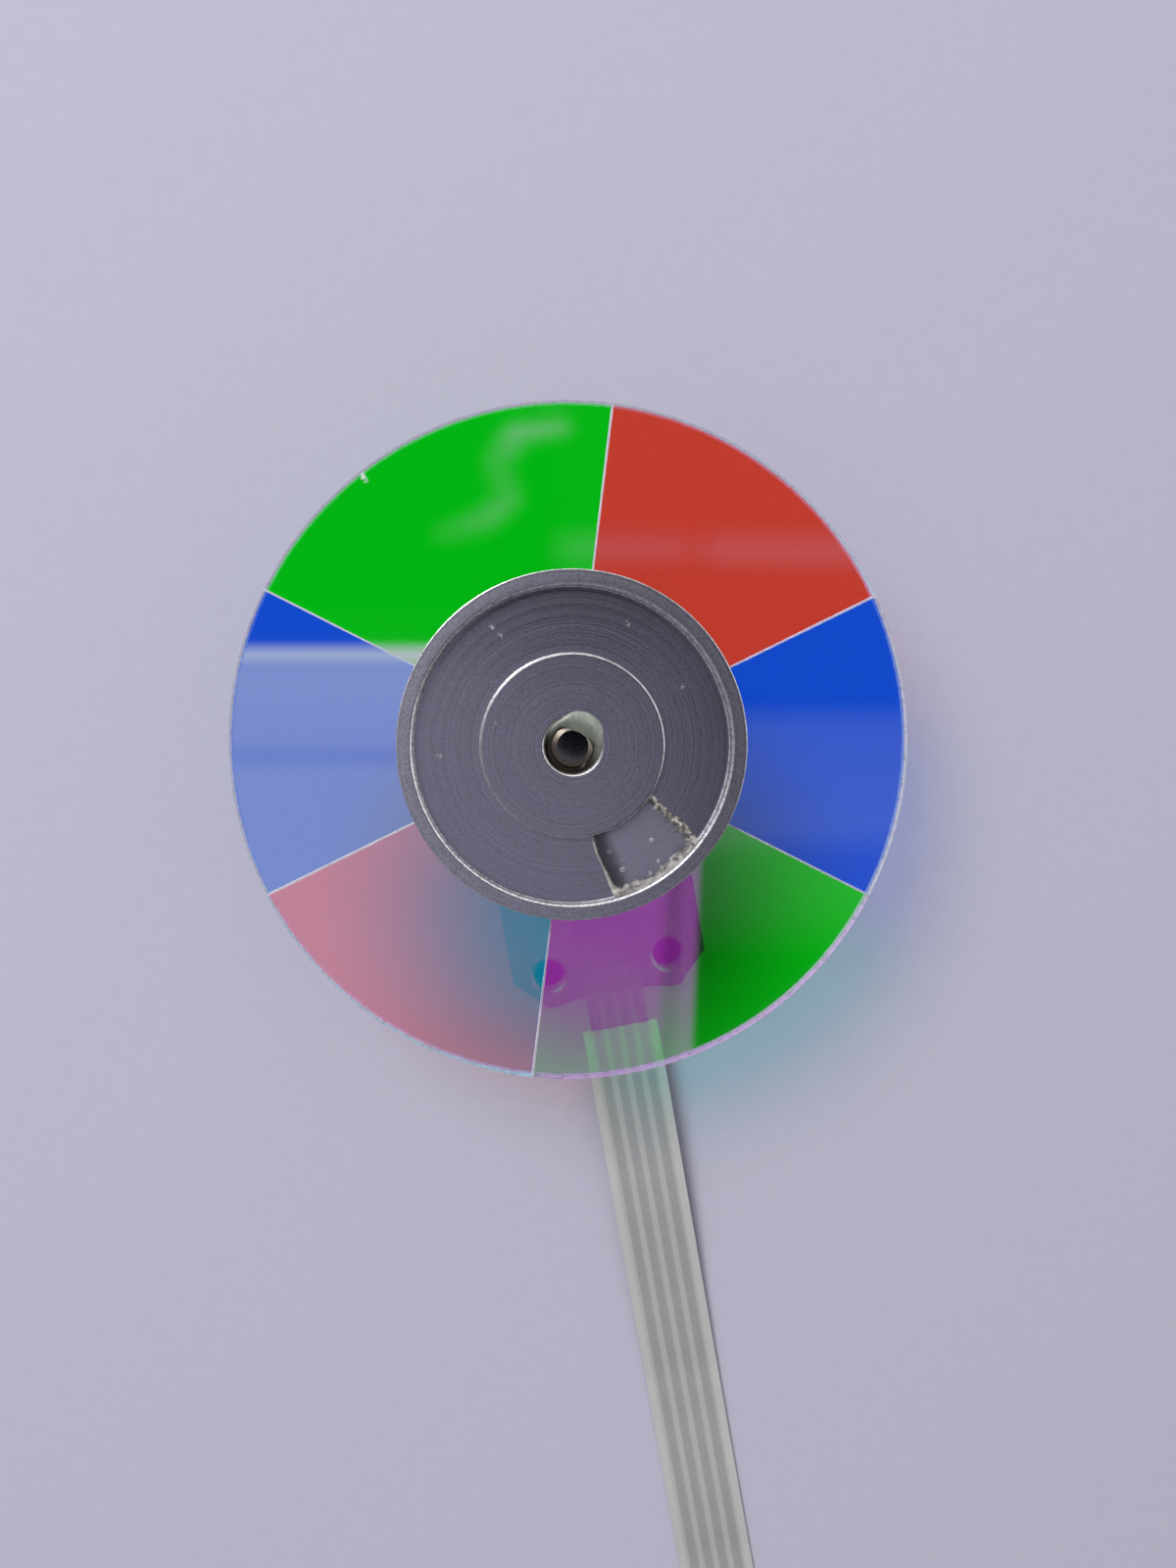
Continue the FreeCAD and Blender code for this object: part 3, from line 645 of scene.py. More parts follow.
turned_steel, tree, place = start_material("turned_steel_chamfer")
feed = add_node(tree, "TexNoise", {}, {"Vector": place, "Scale": 5.0, "Detail": 3.0})
tint = add_node(
    tree,
    "Mix",
    {"data_type": "RGBA"},
    {0: feed.outputs["Fac"], 6: colour("#6A5F55"), 7: colour("#A0958A")},
)
shader = add_node(
    tree,
    "BsdfPrincipled",
    {},
    {"Base Color": tint.outputs[2], "Metallic": 1.0, "Roughness": 0.29},
)
end_material(turned_steel, shader.outputs[0])

shaft_profile = [
    (0.0, 0.72),
    (1.2, 0.72),
    (1.2, 1.25),
    (1.5, 1.25),
    (1.5, 12.49),
    (1.14, 12.70),
    (0.0, 12.70),
]
shape = turned(shaft_profile, 96)
for face in shape.faces:
    face.material_index = 1 if 0.2 < face.normal.z < 0.95 else 0
make_piece("ground_shaft", shape, [ground_steel, turned_steel], "rotor", "shaft")

# %% [markdown]
# ## Epoxy round the shaft
# The shaft is bonded into the clamp ring with a drop of cloudy epoxy. The drop has run over the boss on
# one side and has sunk into the bore on the other, which is how hand-dosed glue sets. Its colour carries
# painted shade: dark brown where it has sunk into the bore, darker near the shaft, where it is thick, for
# the shaded bore under it, darker on its side away from the window, and dark lines in its creases. A ring
# is spun with a finely divided top, and then its top points are moved: outwards and up on the spilt side,
# and down into the bore opposite. That is quicker than sculpting and gives the same drop each time.

# %% Epoxy material
cloudy_epoxy, tree, place = start_material("cloudy_cured_epoxy")
cloud = add_node(tree, "TexNoise", {}, {"Vector": place, "Scale": 0.9, "Detail": 3.0})
folds = add_node(
    tree,
    "TexNoise",
    {},
    {"Vector": place, "Scale": 1.1, "Detail": 2.0, "Distortion": 1.2},
)
tint = add_node(
    tree,
    "Mix",
    {"data_type": "RGBA"},
    {0: cloud.outputs["Fac"], 6: colour("#7C8378"), 7: colour("#B6BAB0")},
)
parts = add_node(tree, "SeparateXYZ", {}, {0: place})
# Painted shade: the side of the drop towards -Y, away from the window, is mixed towards dark olive.
thin_edge_and_lower_shade = smooth_share(tree, parts.outputs["Y"], -1.6, 1.9, 0.85, 0.0)
lower_side_shaded = add_node(
    tree,
    "Mix",
    {"data_type": "RGBA"},
    {0: thin_edge_and_lower_shade, 6: tint.outputs[2], 7: colour("#50564A")},
)
# Painted shade: near the shaft the drop is mixed darker, standing in for the shaded bore under it.
shaft_shade = smooth_share(tree, axis_distance(tree, place), 1.6, 2.3, 0.75, 0.0)
shaft_shaded = add_node(
    tree,
    "Mix",
    {"data_type": "RGBA"},
    {0: shaft_shade, 6: lower_side_shaded.outputs[2], 7: colour("#5C6056")},
)
# Painted shade: thin dark lines along the creases of the folds.
off_level = add_node(tree, "Math", {"operation": "SUBTRACT"}, {0: folds.outputs["Fac"], 1: 0.5})
off_crease = add_node(tree, "Math", {"operation": "ABSOLUTE"}, {0: off_level.outputs[0]})
crease_shade = smooth_share(tree, off_crease.outputs[0], 0.0, 0.012, 0.6, 0.0)
crease_shaded = add_node(
    tree,
    "Mix",
    {"data_type": "RGBA"},
    {0: crease_shade, 6: shaft_shaded.outputs[2], 7: colour("#3C4036")},
)
# Painted shade: where the drop has sunk into the bore it is mixed towards dark brown.
bore_shade = smooth_share(tree, parts.outputs["Z"], 12.1, 12.8, 1.0, 0.0)
bore_shaded = add_node(
    tree,
    "Mix",
    {"data_type": "RGBA"},
    {0: bore_shade, 6: crease_shaded.outputs[2], 7: colour("#2A241A")},
)
relief = add_node(
    tree,
    "Bump",
    {},
    {"Height": folds.outputs["Fac"], "Strength": 0.6, "Distance": 0.12 * MM},
)
shader = add_node(
    tree,
    "BsdfPrincipled",
    {},
    {
        "Base Color": bore_shaded.outputs[2],
        "Roughness": 0.14,
        "IOR": 1.55,
        "Normal": relief.outputs["Normal"],
    },
)
end_material(cloudy_epoxy, shader.outputs[0])

# %% Epoxy drop
EPOXY_INNER = 1.5
EPOXY_BORE = 2.06
EPOXY_FOOT = 11.9
EPOXY_SPILL = 0.45
EPOXY_SPREAD = 0.2
EPOXY_DIRECTION = math.radians(52)
EPOXY_SPREAD_DIRECTION = math.radians(20)
EPOXY_HIGH = 12.92
EPOXY_LOW = 11.95
EPOXY_RINGS = 16
EPOXY_LAP = 0.42


def smooth_step(value, low, high):
    """0 below low, 1 above high, and a smooth rise between them."""
    share = min(max((value - low) / (high - low), 0.0), 1.0)
    return share * share * (3 - 2 * share)


def drop_point(share, angle):
    """Radius and height of the drop's top, from the shaft to its rim, for a direction."""
    facing = math.cos(angle - EPOXY_DIRECTION)
    spilt = smooth_step(facing, -0.75, 0.7)
    tongue = EPOXY_SPILL * smooth_step(facing, 0.55, 1.05)
    skirt = EPOXY_SPREAD * max(math.cos(angle - EPOXY_SPREAD_DIRECTION), 0.0)
    rim = EPOXY_BORE + (tongue * 1.15 + skirt) * spilt
    lap = smooth_step(facing, 0.4, 1.0)
    inner = EPOXY_INNER - EPOXY_LAP * lap
    radius = inner + share * (rim - inner)
    meniscus = (0.55 - 0.35 * lap) * (1 - share) ** 3
    crown = EPOXY_HIGH - meniscus - 0.14 * smooth_step(share, 0.72, 1.0)
    sunk = EPOXY_LOW + 0.35 * smooth_step(share, 0.6, 1.0) + 0.2 * (1 - share) ** 3
    return radius, sunk + (crown - sunk) * spilt


epoxy_step = (EPOXY_BORE - EPOXY_INNER) / EPOXY_RINGS
top = [(EPOXY_INNER + ring * epoxy_step, EPOXY_HIGH) for ring in range(EPOXY_RINGS + 1)]
shape = turned([(EPOXY_INNER, EPOXY_FOOT)] + top + [(EPOXY_BORE, EPOXY_FOOT)], 96)
for corner in shape.verts:
    if corner.co.z > (EPOXY_HIGH - 0.01) * MM:
        reach = corner.co.xy.length / MM
        angle = math.atan2(corner.co.y, corner.co.x)
        share = (reach - EPOXY_INNER) / (EPOXY_BORE - EPOXY_INNER)
        radius, height = drop_point(share, angle)
        corner.co = metres(radius * math.cos(angle), radius * math.sin(angle), height)
make_piece("epoxy_drop", shape, [cloudy_epoxy], "rotor", "shaft_adhesive")

# %% [markdown]
# ## Dichroic glass
# A dichroic coating doesn't absorb light. It lets one colour through and reflects the rest, so the green
# sector mirrors magenta, the red one cyan and the blue one yellow. A tinted glass shader would be wrong,
# because it has white reflections. An Add Shader of a coloured Transparent and a coloured Glossy is
# exactly that split. The coating is on the back of the glass, and the front is bare with a weak gloss.
# Light that falls steeply through the coating is less pure than what the camera sees straight through,
# so the shadow on the table is paler: shadow rays meet a Transparent of their own. One small chip at the
# rim of a green sector shows white on the front.

# %% Coated back and bare front of the glass
GLASS_BORE = 9.5
GLASS_RADIUS = 25.0
GLASS_BACK = 10.5
GLASS_FRONT = 11.2


def coated_glass(name, through, reflected, cast):
    """A dichroic coating: one colour goes through, the other is mirrored."""
    material, tree, place = start_material(name)
    ripple = add_node(tree, "TexNoise", {}, {"Vector": place, "Scale": 0.08, "Detail": 1.0})
    bend = add_node(
        tree,
        "Bump",
        {},
        {"Height": ripple.outputs["Fac"], "Strength": 0.1, "Distance": 0.01 * MM},
    )
    passed = add_node(tree, "BsdfTransparent", {}, {"Color": colour(through)})
    mirror = add_node(
        tree,
        "BsdfGlossy",
        {},
        {"Color": colour(reflected), "Roughness": 0.03, "Normal": bend.outputs["Normal"]},
    )
    both = add_node(tree, "AddShader", {}, {0: passed.outputs[0], 1: mirror.outputs[0]})
    shaded = add_node(tree, "BsdfTransparent", {}, {"Color": colour(cast)})
    rays = add_node(tree, "LightPath")
    whole = add_node(
        tree,
        "MixShader",
        {},
        {0: rays.outputs["Is Shadow Ray"], 1: both.outputs[0], 2: shaded.outputs[0]},
    )
    return end_material(material, whole.outputs[0])


green_coat = coated_glass("dichroic_green_glass", "#02F418", "#F850FF", "#9EEEEE")
red_coat = coated_glass("dichroic_red_glass", "#FF543A", "#04DAFF", "#F9CBC4")
blue_coat = coated_glass("dichroic_blue_glass", "#1A66FC", "#DCE030", "#BCCBFF")

BARE_GLOSS_SHARE = 0.2
CHIP_PX = (370.5, 486.0)
CHIP_RADIUS = 0.27
bare_glass, tree, place = start_material("bare_glass_front")
edge_on = add_node(tree, "Fresnel", {}, {"IOR": 1.5})
weak = add_node(tree, "Math", {"operation": "MULTIPLY"}, {0: edge_on.outputs[0], 1: BARE_GLOSS_SHARE})
clear = add_node(tree, "BsdfTransparent", {}, {"Color": colour("#FFFFFF")})
gloss = add_node(tree, "BsdfGlossy", {}, {"Color": colour("#FFFFFF"), "Roughness": 0.03})
split = add_node(
    tree,
    "MixShader",
    {},
    {0: weak.outputs[0], 1: clear.outputs[0], 2: gloss.outputs[0]},
)
shell_marks = add_node(tree, "TexNoise", {}, {"Vector": place, "Scale": 2.5, "Detail": 3.0})
ragged = add_node(
    tree,
    "VectorMath",
    {"operation": "MULTIPLY_ADD"},
    {0: shell_marks.outputs["Color"], 1: (0.5, 0.5, 0.0), 2: place},
)
chip_place = pixel_place(*CHIP_PX, GLASS_FRONT) + Vector((0.25, 0.25, 0.0))
from_chip = add_node(tree, "VectorMath", {"operation": "DISTANCE"}, {0: ragged.outputs[0], 1: chip_place})
chipped = smooth_share(tree, from_chip.outputs["Value"], 0.6 * CHIP_RADIUS, CHIP_RADIUS, 0.9, 0.0)
shell = add_node(tree, "BsdfPrincipled", {}, {"Base Color": colour("#CDD8D0"), "Roughness": 0.35})
front = add_node(tree, "MixShader", {}, {0: chipped, 1: split.outputs[0], 2: shell.outputs[0]})
end_material(bare_glass, front.outputs[0])

# %% [markdown]
# The outer edge is ground matt, with small chips. Glass that is ground thin lets light through, so half of
# it is Transparent. The edge also picks up the light that the coating beside it turns away, so on a red
# sector it is a little cyan and on a green one lilac. The straight edges between two sectors are white.

# %% Ground edges of the glass
EDGE_CLEARNESS = 0.5


def ground_edge(name, dark, pale, clearness):
    """A matt ground edge with chips, partly clear."""
    material, tree, place = start_material(name)
    chips = add_node(tree, "TexNoise", {}, {"Vector": place, "Scale": 2.2, "Detail": 5.0, "Roughness": 0.7})
    share = add_node(tree, "MapRange", {}, {"Value": chips.outputs["Fac"], "From Min": 0.32, "From Max": 0.5})
    frost = add_node(
        tree,
        "Mix",
        {"data_type": "RGBA"},
        {0: share.outputs[0], 6: colour(dark), 7: colour(pale)},
    )
    pits = add_node(
        tree,
        "Bump",
        {},
        {"Height": chips.outputs["Fac"], "Strength": 0.6, "Distance": 0.02 * MM},
    )
    frosted = add_node(
        tree,
        "BsdfPrincipled",
        {},
        {"Base Color": frost.outputs[2], "Roughness": 0.5, "Normal": pits.outputs["Normal"]},
    )
    clear = add_node(tree, "BsdfTransparent", {}, {"Color": colour("#FFFFFF")})
    thin_edge_and_lower_shade = add_node(tree, "MixShader", {}, {0: clearness, 1: frosted.outputs[0], 2: clear.outputs[0]})
    return end_material(material, thin_edge_and_lower_shade.outputs[0])


green_edge = ground_edge("ground_edge_green_glass", "#6A5880", "#DCCCF0", EDGE_CLEARNESS)
red_edge = ground_edge("ground_edge_red_glass", "#566F80", "#CCEAF2", EDGE_CLEARNESS)
blue_edge = ground_edge("ground_edge_blue_glass", "#565A90", "#CCD0F4", EDGE_CLEARNESS)
seam_edge = ground_edge("ground_seam_of_glass", "#C8C0CC", "#F8F2FA", 0.0)

# %% [markdown]
# ## Six sectors
# Each sector is a slice of a flat ring. The slice's cross-section is a small rectangle, and spin sweeps
# it through the sector's angle, which leaves a closed block with two end faces. The glass is cut and
# ground, so all its edges get a narrow bevel, and those bevels side by side are the pale seams between
# the colours.

# %% Cut the sectors
FIRST_SEAM = 73.0
SEAM_GAP = 0.2
EDGE_GRIND = 0.02
SECTOR_ORDER = [
    ("green_filter_1", 70, green_coat, green_edge, "green_glass"),
    ("blue_filter_1", 53, blue_coat, blue_edge, "blue_glass"),
    ("red_filter_1", 57, red_coat, red_edge, "red_glass"),
    ("green_filter_2", 70, green_coat, green_edge, "green_glass"),
    ("blue_filter_2", 53, blue_coat, blue_edge, "blue_glass"),
    ("red_filter_2", 57, red_coat, red_edge, "red_glass"),
]
COATED = 0
BARE = 1
GROUND = 2
SEAM = 3
RIM_START = GLASS_RADIUS - 0.1


def cut_sector(start, span):
    """A slice of the glass ring, with its faces marked as coated, bare or ground."""
    shape = bmesh.new()
    corners = [
        (GLASS_BORE, GLASS_BACK),
        (GLASS_RADIUS, GLASS_BACK),
        (GLASS_RADIUS, GLASS_FRONT),
        (GLASS_BORE, GLASS_FRONT),
    ]
    face = shape.faces.new([shape.verts.new(metres(radius, 0, height)) for radius, height in corners])
    turn = Matrix.Rotation(math.radians(start + SEAM_GAP / 2), 4, "Z")
    bmesh.ops.transform(shape, matrix=turn, verts=shape.verts)
    bmesh.ops.spin(
        shape,
        geom=[face],
        cent=(0, 0, 0),
        axis=AXIS,
        angle=math.radians(span - SEAM_GAP),
        steps=span,
    )
    tidy_shape(shape)
    break_edges(shape, EDGE_GRIND, 1)
    for face in shape.faces:
        if abs(face.normal.z) > 0.99:
            face.material_index = BARE if face.normal.z > 0 else COATED
        else:
            at_rim = face.calc_center_median().xy.length > RIM_START * MM
            face.material_index = GROUND if at_rim else SEAM
    return shape


start = FIRST_SEAM
for node, span, coat, edge, slot in SECTOR_ORDER:
    shape = cut_sector(start, span)
    make_piece(node + "_glass", shape, [coat, bare_glass, edge, seam_edge], "rotor", node)
    start += span
print("the six sectors close the ring:", start - FIRST_SEAM == 360)

# %% [markdown]
# ## Balance resin
# A dab of clear resin in the groove balances the wheel. It wets both walls, so its top is hollow, and its
# two ends are ragged where it was pressed in. A slice of the groove is spun, its top is pulled down in the
# middle and its ends are pushed about by noise. The resin itself only bends a little light, so it is a mix
# of Transparent and Glossy, and a cloudy crust shows where it is thin, at its right end. Along the rim the
# crust's colours, pushed to pale streaks, are a painted highlight, and at the left end a dark line and a
# dark band inside a pale edge line are painted shade along the meniscus.

# %% Where the resin lies
RESIN_FLOOR = 12.06
RESIN_TOP = 12.55
RESIN_INNER = 6.71
RESIN_OUTER = 11.54
RESIN_MIDDLE = math.radians(-65.5)
RESIN_HALF_INNER = math.radians(23.5)
RESIN_HALF_OUTER = math.radians(18.5)
RESIN_COLUMNS = 60
RESIN_ROWS = 14
END_CRUST = 0.85
# Width of the painted highlight band along the rim.
RIM_HIGHLIGHT_BAND = 0.8
LEFT_FADE = 1.6
HAZE_SHARE = 0.1

# %% Resin material
clear_resin, tree, place = start_material("clear_cured_resin")
parts = add_node(tree, "SeparateXYZ", {}, {0: place})
direction = add_node(tree, "Math", {"operation": "ARCTAN2"}, {0: parts.outputs["Y"], 1: parts.outputs["X"]})
reach = axis_distance(tree, place)
clots = add_node(tree, "TexNoise", {}, {"Vector": place, "Scale": 1.3, "Detail": 4.0, "Roughness": 0.6})
half = add_node(
    tree,
    "MapRange",
    {},
    {
        "Value": reach,
        "From Min": RESIN_INNER,
        "From Max": RESIN_OUTER,
        "To Min": RESIN_HALF_INNER,
        "To Max": RESIN_HALF_OUTER,
    },
)
turned_by = add_node(tree, "Math", {"operation": "SUBTRACT"}, {0: direction.outputs[0], 1: RESIN_MIDDLE})
aside = add_node(tree, "Math", {"operation": "ABSOLUTE"}, {0: turned_by.outputs[0]})
short_of_end = add_node(tree, "Math", {"operation": "SUBTRACT"}, {0: half.outputs[0], 1: aside.outputs[0]})
to_end = add_node(tree, "Math", {"operation": "MULTIPLY"}, {0: short_of_end.outputs[0], 1: reach})
to_rim = add_node(tree, "Math", {"operation": "SUBTRACT"}, {0: RESIN_OUTER, 1: reach})
along = add_node(tree, "Math", {"operation": "MULTIPLY"}, {0: direction.outputs[0], 1: 0.3 * RESIN_OUTER})
unrolled = add_node(tree, "CombineXYZ", {}, {"X": reach, "Y": along.outputs[0]})
streaks = add_node(
    tree,
    "TexNoise",
    {},
    {"Vector": unrolled.outputs[0], "Scale": 2.4, "Detail": 4.0, "Roughness": 0.6},
)
pieces = add_node(tree, "TexNoise", {}, {"Vector": place, "Scale": 2.2, "Detail": 4.0, "Roughness": 0.6})
wander = add_node(
    tree,
    "MapRange",
    {},
    {"Value": clots.outputs["Fac"], "From Min": 0.3, "From Max": 0.7, "To Min": -0.5, "To Max": 0.5},
)
ragged_end = add_node(tree, "Math", {"operation": "ADD"}, {0: to_end.outputs[0], 1: wander.outputs[0]})
ragged_rim = add_node(tree, "Math", {"operation": "ADD"}, {0: to_rim.outputs[0], 1: wander.outputs[0]})
near_end = smooth_share(tree, ragged_end.outputs[0], 0.2, END_CRUST, 1.0, 0.0)
# Painted highlight: a band along the outer rim, where the crust's colours are pushed to pale streaks.
rim_band_highlight_share = smooth_share(tree, ragged_rim.outputs[0], 0.2, RIM_HIGHLIGHT_BAND, 0.75, 0.0)
on_right = add_node(tree, "Math", {"operation": "GREATER_THAN"}, {0: turned_by.outputs[0], 1: 0.0})
right_end = add_node(tree, "Math", {"operation": "MULTIPLY"}, {0: near_end, 1: on_right.outputs[0]})
crust_and_highlight_share = add_node(tree, "Math", {"operation": "MAXIMUM"}, {0: right_end.outputs[0], 1: rim_band_highlight_share})
specks = add_node(
    tree,
    "Mix",
    {"data_type": "FLOAT"},
    {0: rim_band_highlight_share, 2: pieces.outputs["Fac"], 3: streaks.outputs["Fac"]},
)
shifted = add_node(
    tree,
    "Math",
    {"operation": "MULTIPLY_ADD"},
    {0: rim_band_highlight_share, 1: 0.12, 2: specks.outputs[0]},
)
# These crust colours paint the right end's crust and also the painted highlight band along the rim.
crust_and_highlight_tone = add_node(tree, "ValToRGB", {}, {0: shifted.outputs[0]})
crust_and_highlight_tone.color_ramp.elements[0].position = 0.4
crust_and_highlight_tone.color_ramp.elements[0].color = colour("#2E2C2C")
crust_and_highlight_tone.color_ramp.elements[1].position = 0.66
crust_and_highlight_tone.color_ramp.elements[1].color = colour("#EDE9DF")
brownish = crust_and_highlight_tone.color_ramp.elements.new(0.5)
brownish.color = colour("#7C756B")
on_left = add_node(tree, "Math", {"operation": "SUBTRACT"}, {0: 1.0, 1: on_right.outputs[0]})
wavering = add_node(
    tree,
    "Math",
    {"operation": "MULTIPLY_ADD"},
    {0: wander.outputs[0], 1: 0.25, 2: to_end.outputs[0]},
)
# Painted shade: inside a pale edge line, a dark line and a dark band follow the left end's meniscus.
left_depth = add_node(tree, "MapRange", {}, {"Value": wavering.outputs[0], "From Max": LEFT_FADE})
left_end_shade_tone = add_node(tree, "ValToRGB", {}, {0: left_depth.outputs["Result"]})
left_end_shade_tone.color_ramp.elements[0].color = colour("#C4C0B4")
left_end_shade_tone.color_ramp.elements[1].color = colour("#5A5A66")
meniscus_shade_line = left_end_shade_tone.color_ramp.elements.new(0.13)
meniscus_shade_line.color = colour("#1C1E28")
meniscus_shade_band = left_end_shade_tone.color_ramp.elements.new(0.5)
meniscus_shade_band.color = colour("#34363F")
left_fade = smooth_share(tree, left_depth.outputs["Result"], 0.35, 1.0, 0.8, 0.0)
left_end_shade_share = add_node(tree, "Math", {"operation": "MULTIPLY"}, {0: left_fade, 1: on_left.outputs[0]})
crust_highlight_and_shade_tone = add_node(
    tree,
    "Mix",
    {"data_type": "RGBA"},
    {0: crust_and_highlight_share.outputs[0], 6: left_end_shade_tone.outputs[0], 7: crust_and_highlight_tone.outputs[0]},
)
either = add_node(tree, "Math", {"operation": "MAXIMUM"}, {0: left_end_shade_share.outputs[0], 1: crust_and_highlight_share.outputs[0]})
crust_highlight_and_shade_share = add_node(tree, "Math", {"operation": "MULTIPLY"}, {0: either.outputs[0], 1: 0.85})
lumps = add_node(
    tree,
    "Bump",
    {},
    {"Height": clots.outputs["Fac"], "Strength": 0.3, "Distance": 0.1 * MM},
)
edge_on = add_node(tree, "Fresnel", {}, {"IOR": 1.5, "Normal": lumps.outputs["Normal"]})
side = add_node(tree, "NewGeometry")
outside = add_node(tree, "Math", {"operation": "SUBTRACT"}, {0: 1.0, 1: side.outputs["Backfacing"]})
front_gloss = add_node(tree, "Math", {"operation": "MULTIPLY"}, {0: edge_on.outputs[0], 1: outside.outputs[0]})
clear = add_node(tree, "BsdfTransparent", {}, {"Color": colour("#FDFDFF")})
gloss = add_node(
    tree,
    "BsdfGlossy",
    {},
    {"Color": colour("#FFFFFF"), "Roughness": 0.06, "Normal": lumps.outputs["Normal"]},
)
split = add_node(
    tree,
    "MixShader",
    {},
    {0: front_gloss.outputs[0], 1: clear.outputs[0], 2: gloss.outputs[0]},
)
haze = add_node(tree, "BsdfDiffuse", {}, {"Color": colour("#B4B2BE")})
hazy = add_node(tree, "MixShader", {}, {0: HAZE_SHARE, 1: split.outputs[0], 2: haze.outputs[0]})
# This finish carries the real crust, the painted highlight along the rim and the painted shade at the left end.
crust_highlight_and_shade_finish = add_node(
    tree,
    "BsdfPrincipled",
    {},
    {"Base Color": crust_highlight_and_shade_tone.outputs[2], "Roughness": 0.3, "Normal": lumps.outputs["Normal"]},
)
whole = add_node(
    tree,
    "MixShader",
    {},
    {0: crust_highlight_and_shade_share.outputs[0], 1: hazy.outputs[0], 2: crust_highlight_and_shade_finish.outputs[0]},
)
end_material(clear_resin, whole.outputs[0])

# %% Resin in the groove


def resin_point(place):
    """Moves a point of the spun slice to the wavy, hollow form of the resin."""
    reach = place.xy.length / MM
    angle = math.atan2(place.y, place.x)
    across_groove = (reach - RESIN_INNER) / (RESIN_OUTER - RESIN_INNER)
    half_angle = RESIN_HALF_INNER + across_groove * (RESIN_HALF_OUTER - RESIN_HALF_INNER)
    along_groove = (angle - RESIN_MIDDLE) / RESIN_HALF_INNER
    wave = noise.noise(Vector((reach * 0.9, along_groove, 0.5))) * 0.035 * abs(along_groove)
    turned_to = RESIN_MIDDLE + along_groove * half_angle + wave
    height = place.z / MM
    if height > RESIN_FLOOR + 0.01:
        hollow = 0.17 * (1 - (2 * across_groove - 1) ** 4)
        slope = 0.3 * smooth_step(abs(along_groove), 0.9, 1.0)
        height = height - hollow - slope
    return metres(reach * math.cos(turned_to), reach * math.sin(turned_to), height)


shape = bmesh.new()
step = (RESIN_OUTER - RESIN_INNER) / RESIN_ROWS
rim = [(RESIN_OUTER - row * step, RESIN_TOP) for row in range(RESIN_ROWS + 1)]
corners = [(RESIN_INNER, RESIN_FLOOR), (RESIN_OUTER, RESIN_FLOOR)] + rim
face = shape.faces.new([shape.verts.new(metres(radius, 0, height)) for radius, height in corners])
turn = Matrix.Rotation(RESIN_MIDDLE - RESIN_HALF_INNER, 4, "Z")
bmesh.ops.transform(shape, matrix=turn, verts=shape.verts)
bmesh.ops.spin(
    shape,
    geom=[face],
    cent=(0, 0, 0),
    axis=AXIS,
    angle=2 * RESIN_HALF_INNER,
    steps=RESIN_COLUMNS,
)
tidy_shape(shape)
for corner in shape.verts:
    corner.co = resin_point(corner.co)
bmesh.ops.triangulate(shape, faces=[face for face in shape.faces if len(face.verts) > 4])
make_piece("clear_balance_resin", shape, [clear_resin], "rotor", "balance_resin")

# %% [markdown]
# ## Bubbles
# Mixing by hand leaves a few air bubbles in the resin. Each one is a tiny sphere that shines at its rim.
# Here each is a small glossy sphere just under the surface, grey inside, and the shine at its rim is a
# painted highlight: white base colour where the surface turns away from the view. All of them are one mesh.

# %% Bubbles in the resin
BUBBLES_PX = [
    (621.6, 869.4, 0.15),
    (634.9, 887.5, 0.20),
    (664.9, 857.2, 0.15),
    (671.8, 879.0, 0.12),
    (650.9, 903.0, 0.12),
    (657.6, 899.8, 0.10),
]
BUBBLE_HEIGHT = 12.22

air_bubble, tree, place = start_material("air_bubble")
swirl = add_node(tree, "TexNoise", {}, {"Vector": place, "Scale": 6.0, "Detail": 2.0})
skin = add_node(tree, "LayerWeight", {}, {"Blend": 0.4})
# Painted highlight: the rim of each bubble is mixed towards white.
bubble_rim_highlight = smooth_share(tree, skin.outputs["Facing"], 0.05, 0.4, 0.0, 1.0)
swirled = add_node(
    tree,
    "Mix",
    {"data_type": "RGBA"},
    {0: swirl.outputs["Fac"], 6: colour("#5A5A64"), 7: colour("#85858E")},
)
tint = add_node(
    tree,
    "Mix",
    {"data_type": "RGBA"},
    {0: bubble_rim_highlight, 6: swirled.outputs[2], 7: colour("#FFFFFF")},
)
shader = add_node(
    tree,
    "BsdfPrincipled",
    {},
    {"Base Color": tint.outputs[2], "Roughness": 0.12},
)
end_material(air_bubble, shader.outputs[0])

shape = bmesh.new()
for right_px, down_px, size in BUBBLES_PX:
    stand = Matrix.Translation(pixel_place(right_px, down_px, BUBBLE_HEIGHT) * MM)
    bmesh.ops.create_icosphere(shape, subdivisions=2, radius=size * MM, matrix=stand)
make_piece("resin_bubbles", shape, [air_bubble], "rotor")

# %% [markdown]
# ## Finishes for the CAD pieces
# The plate, the motor and the small parts already have their right shapes, so they only need a finish.
# Most are one base colour with fine grain: a noise node at the real grain size varies colour, roughness
# and relief together. One function makes that graph, and each finish passes its own measures.

# %% One graph for grained finishes


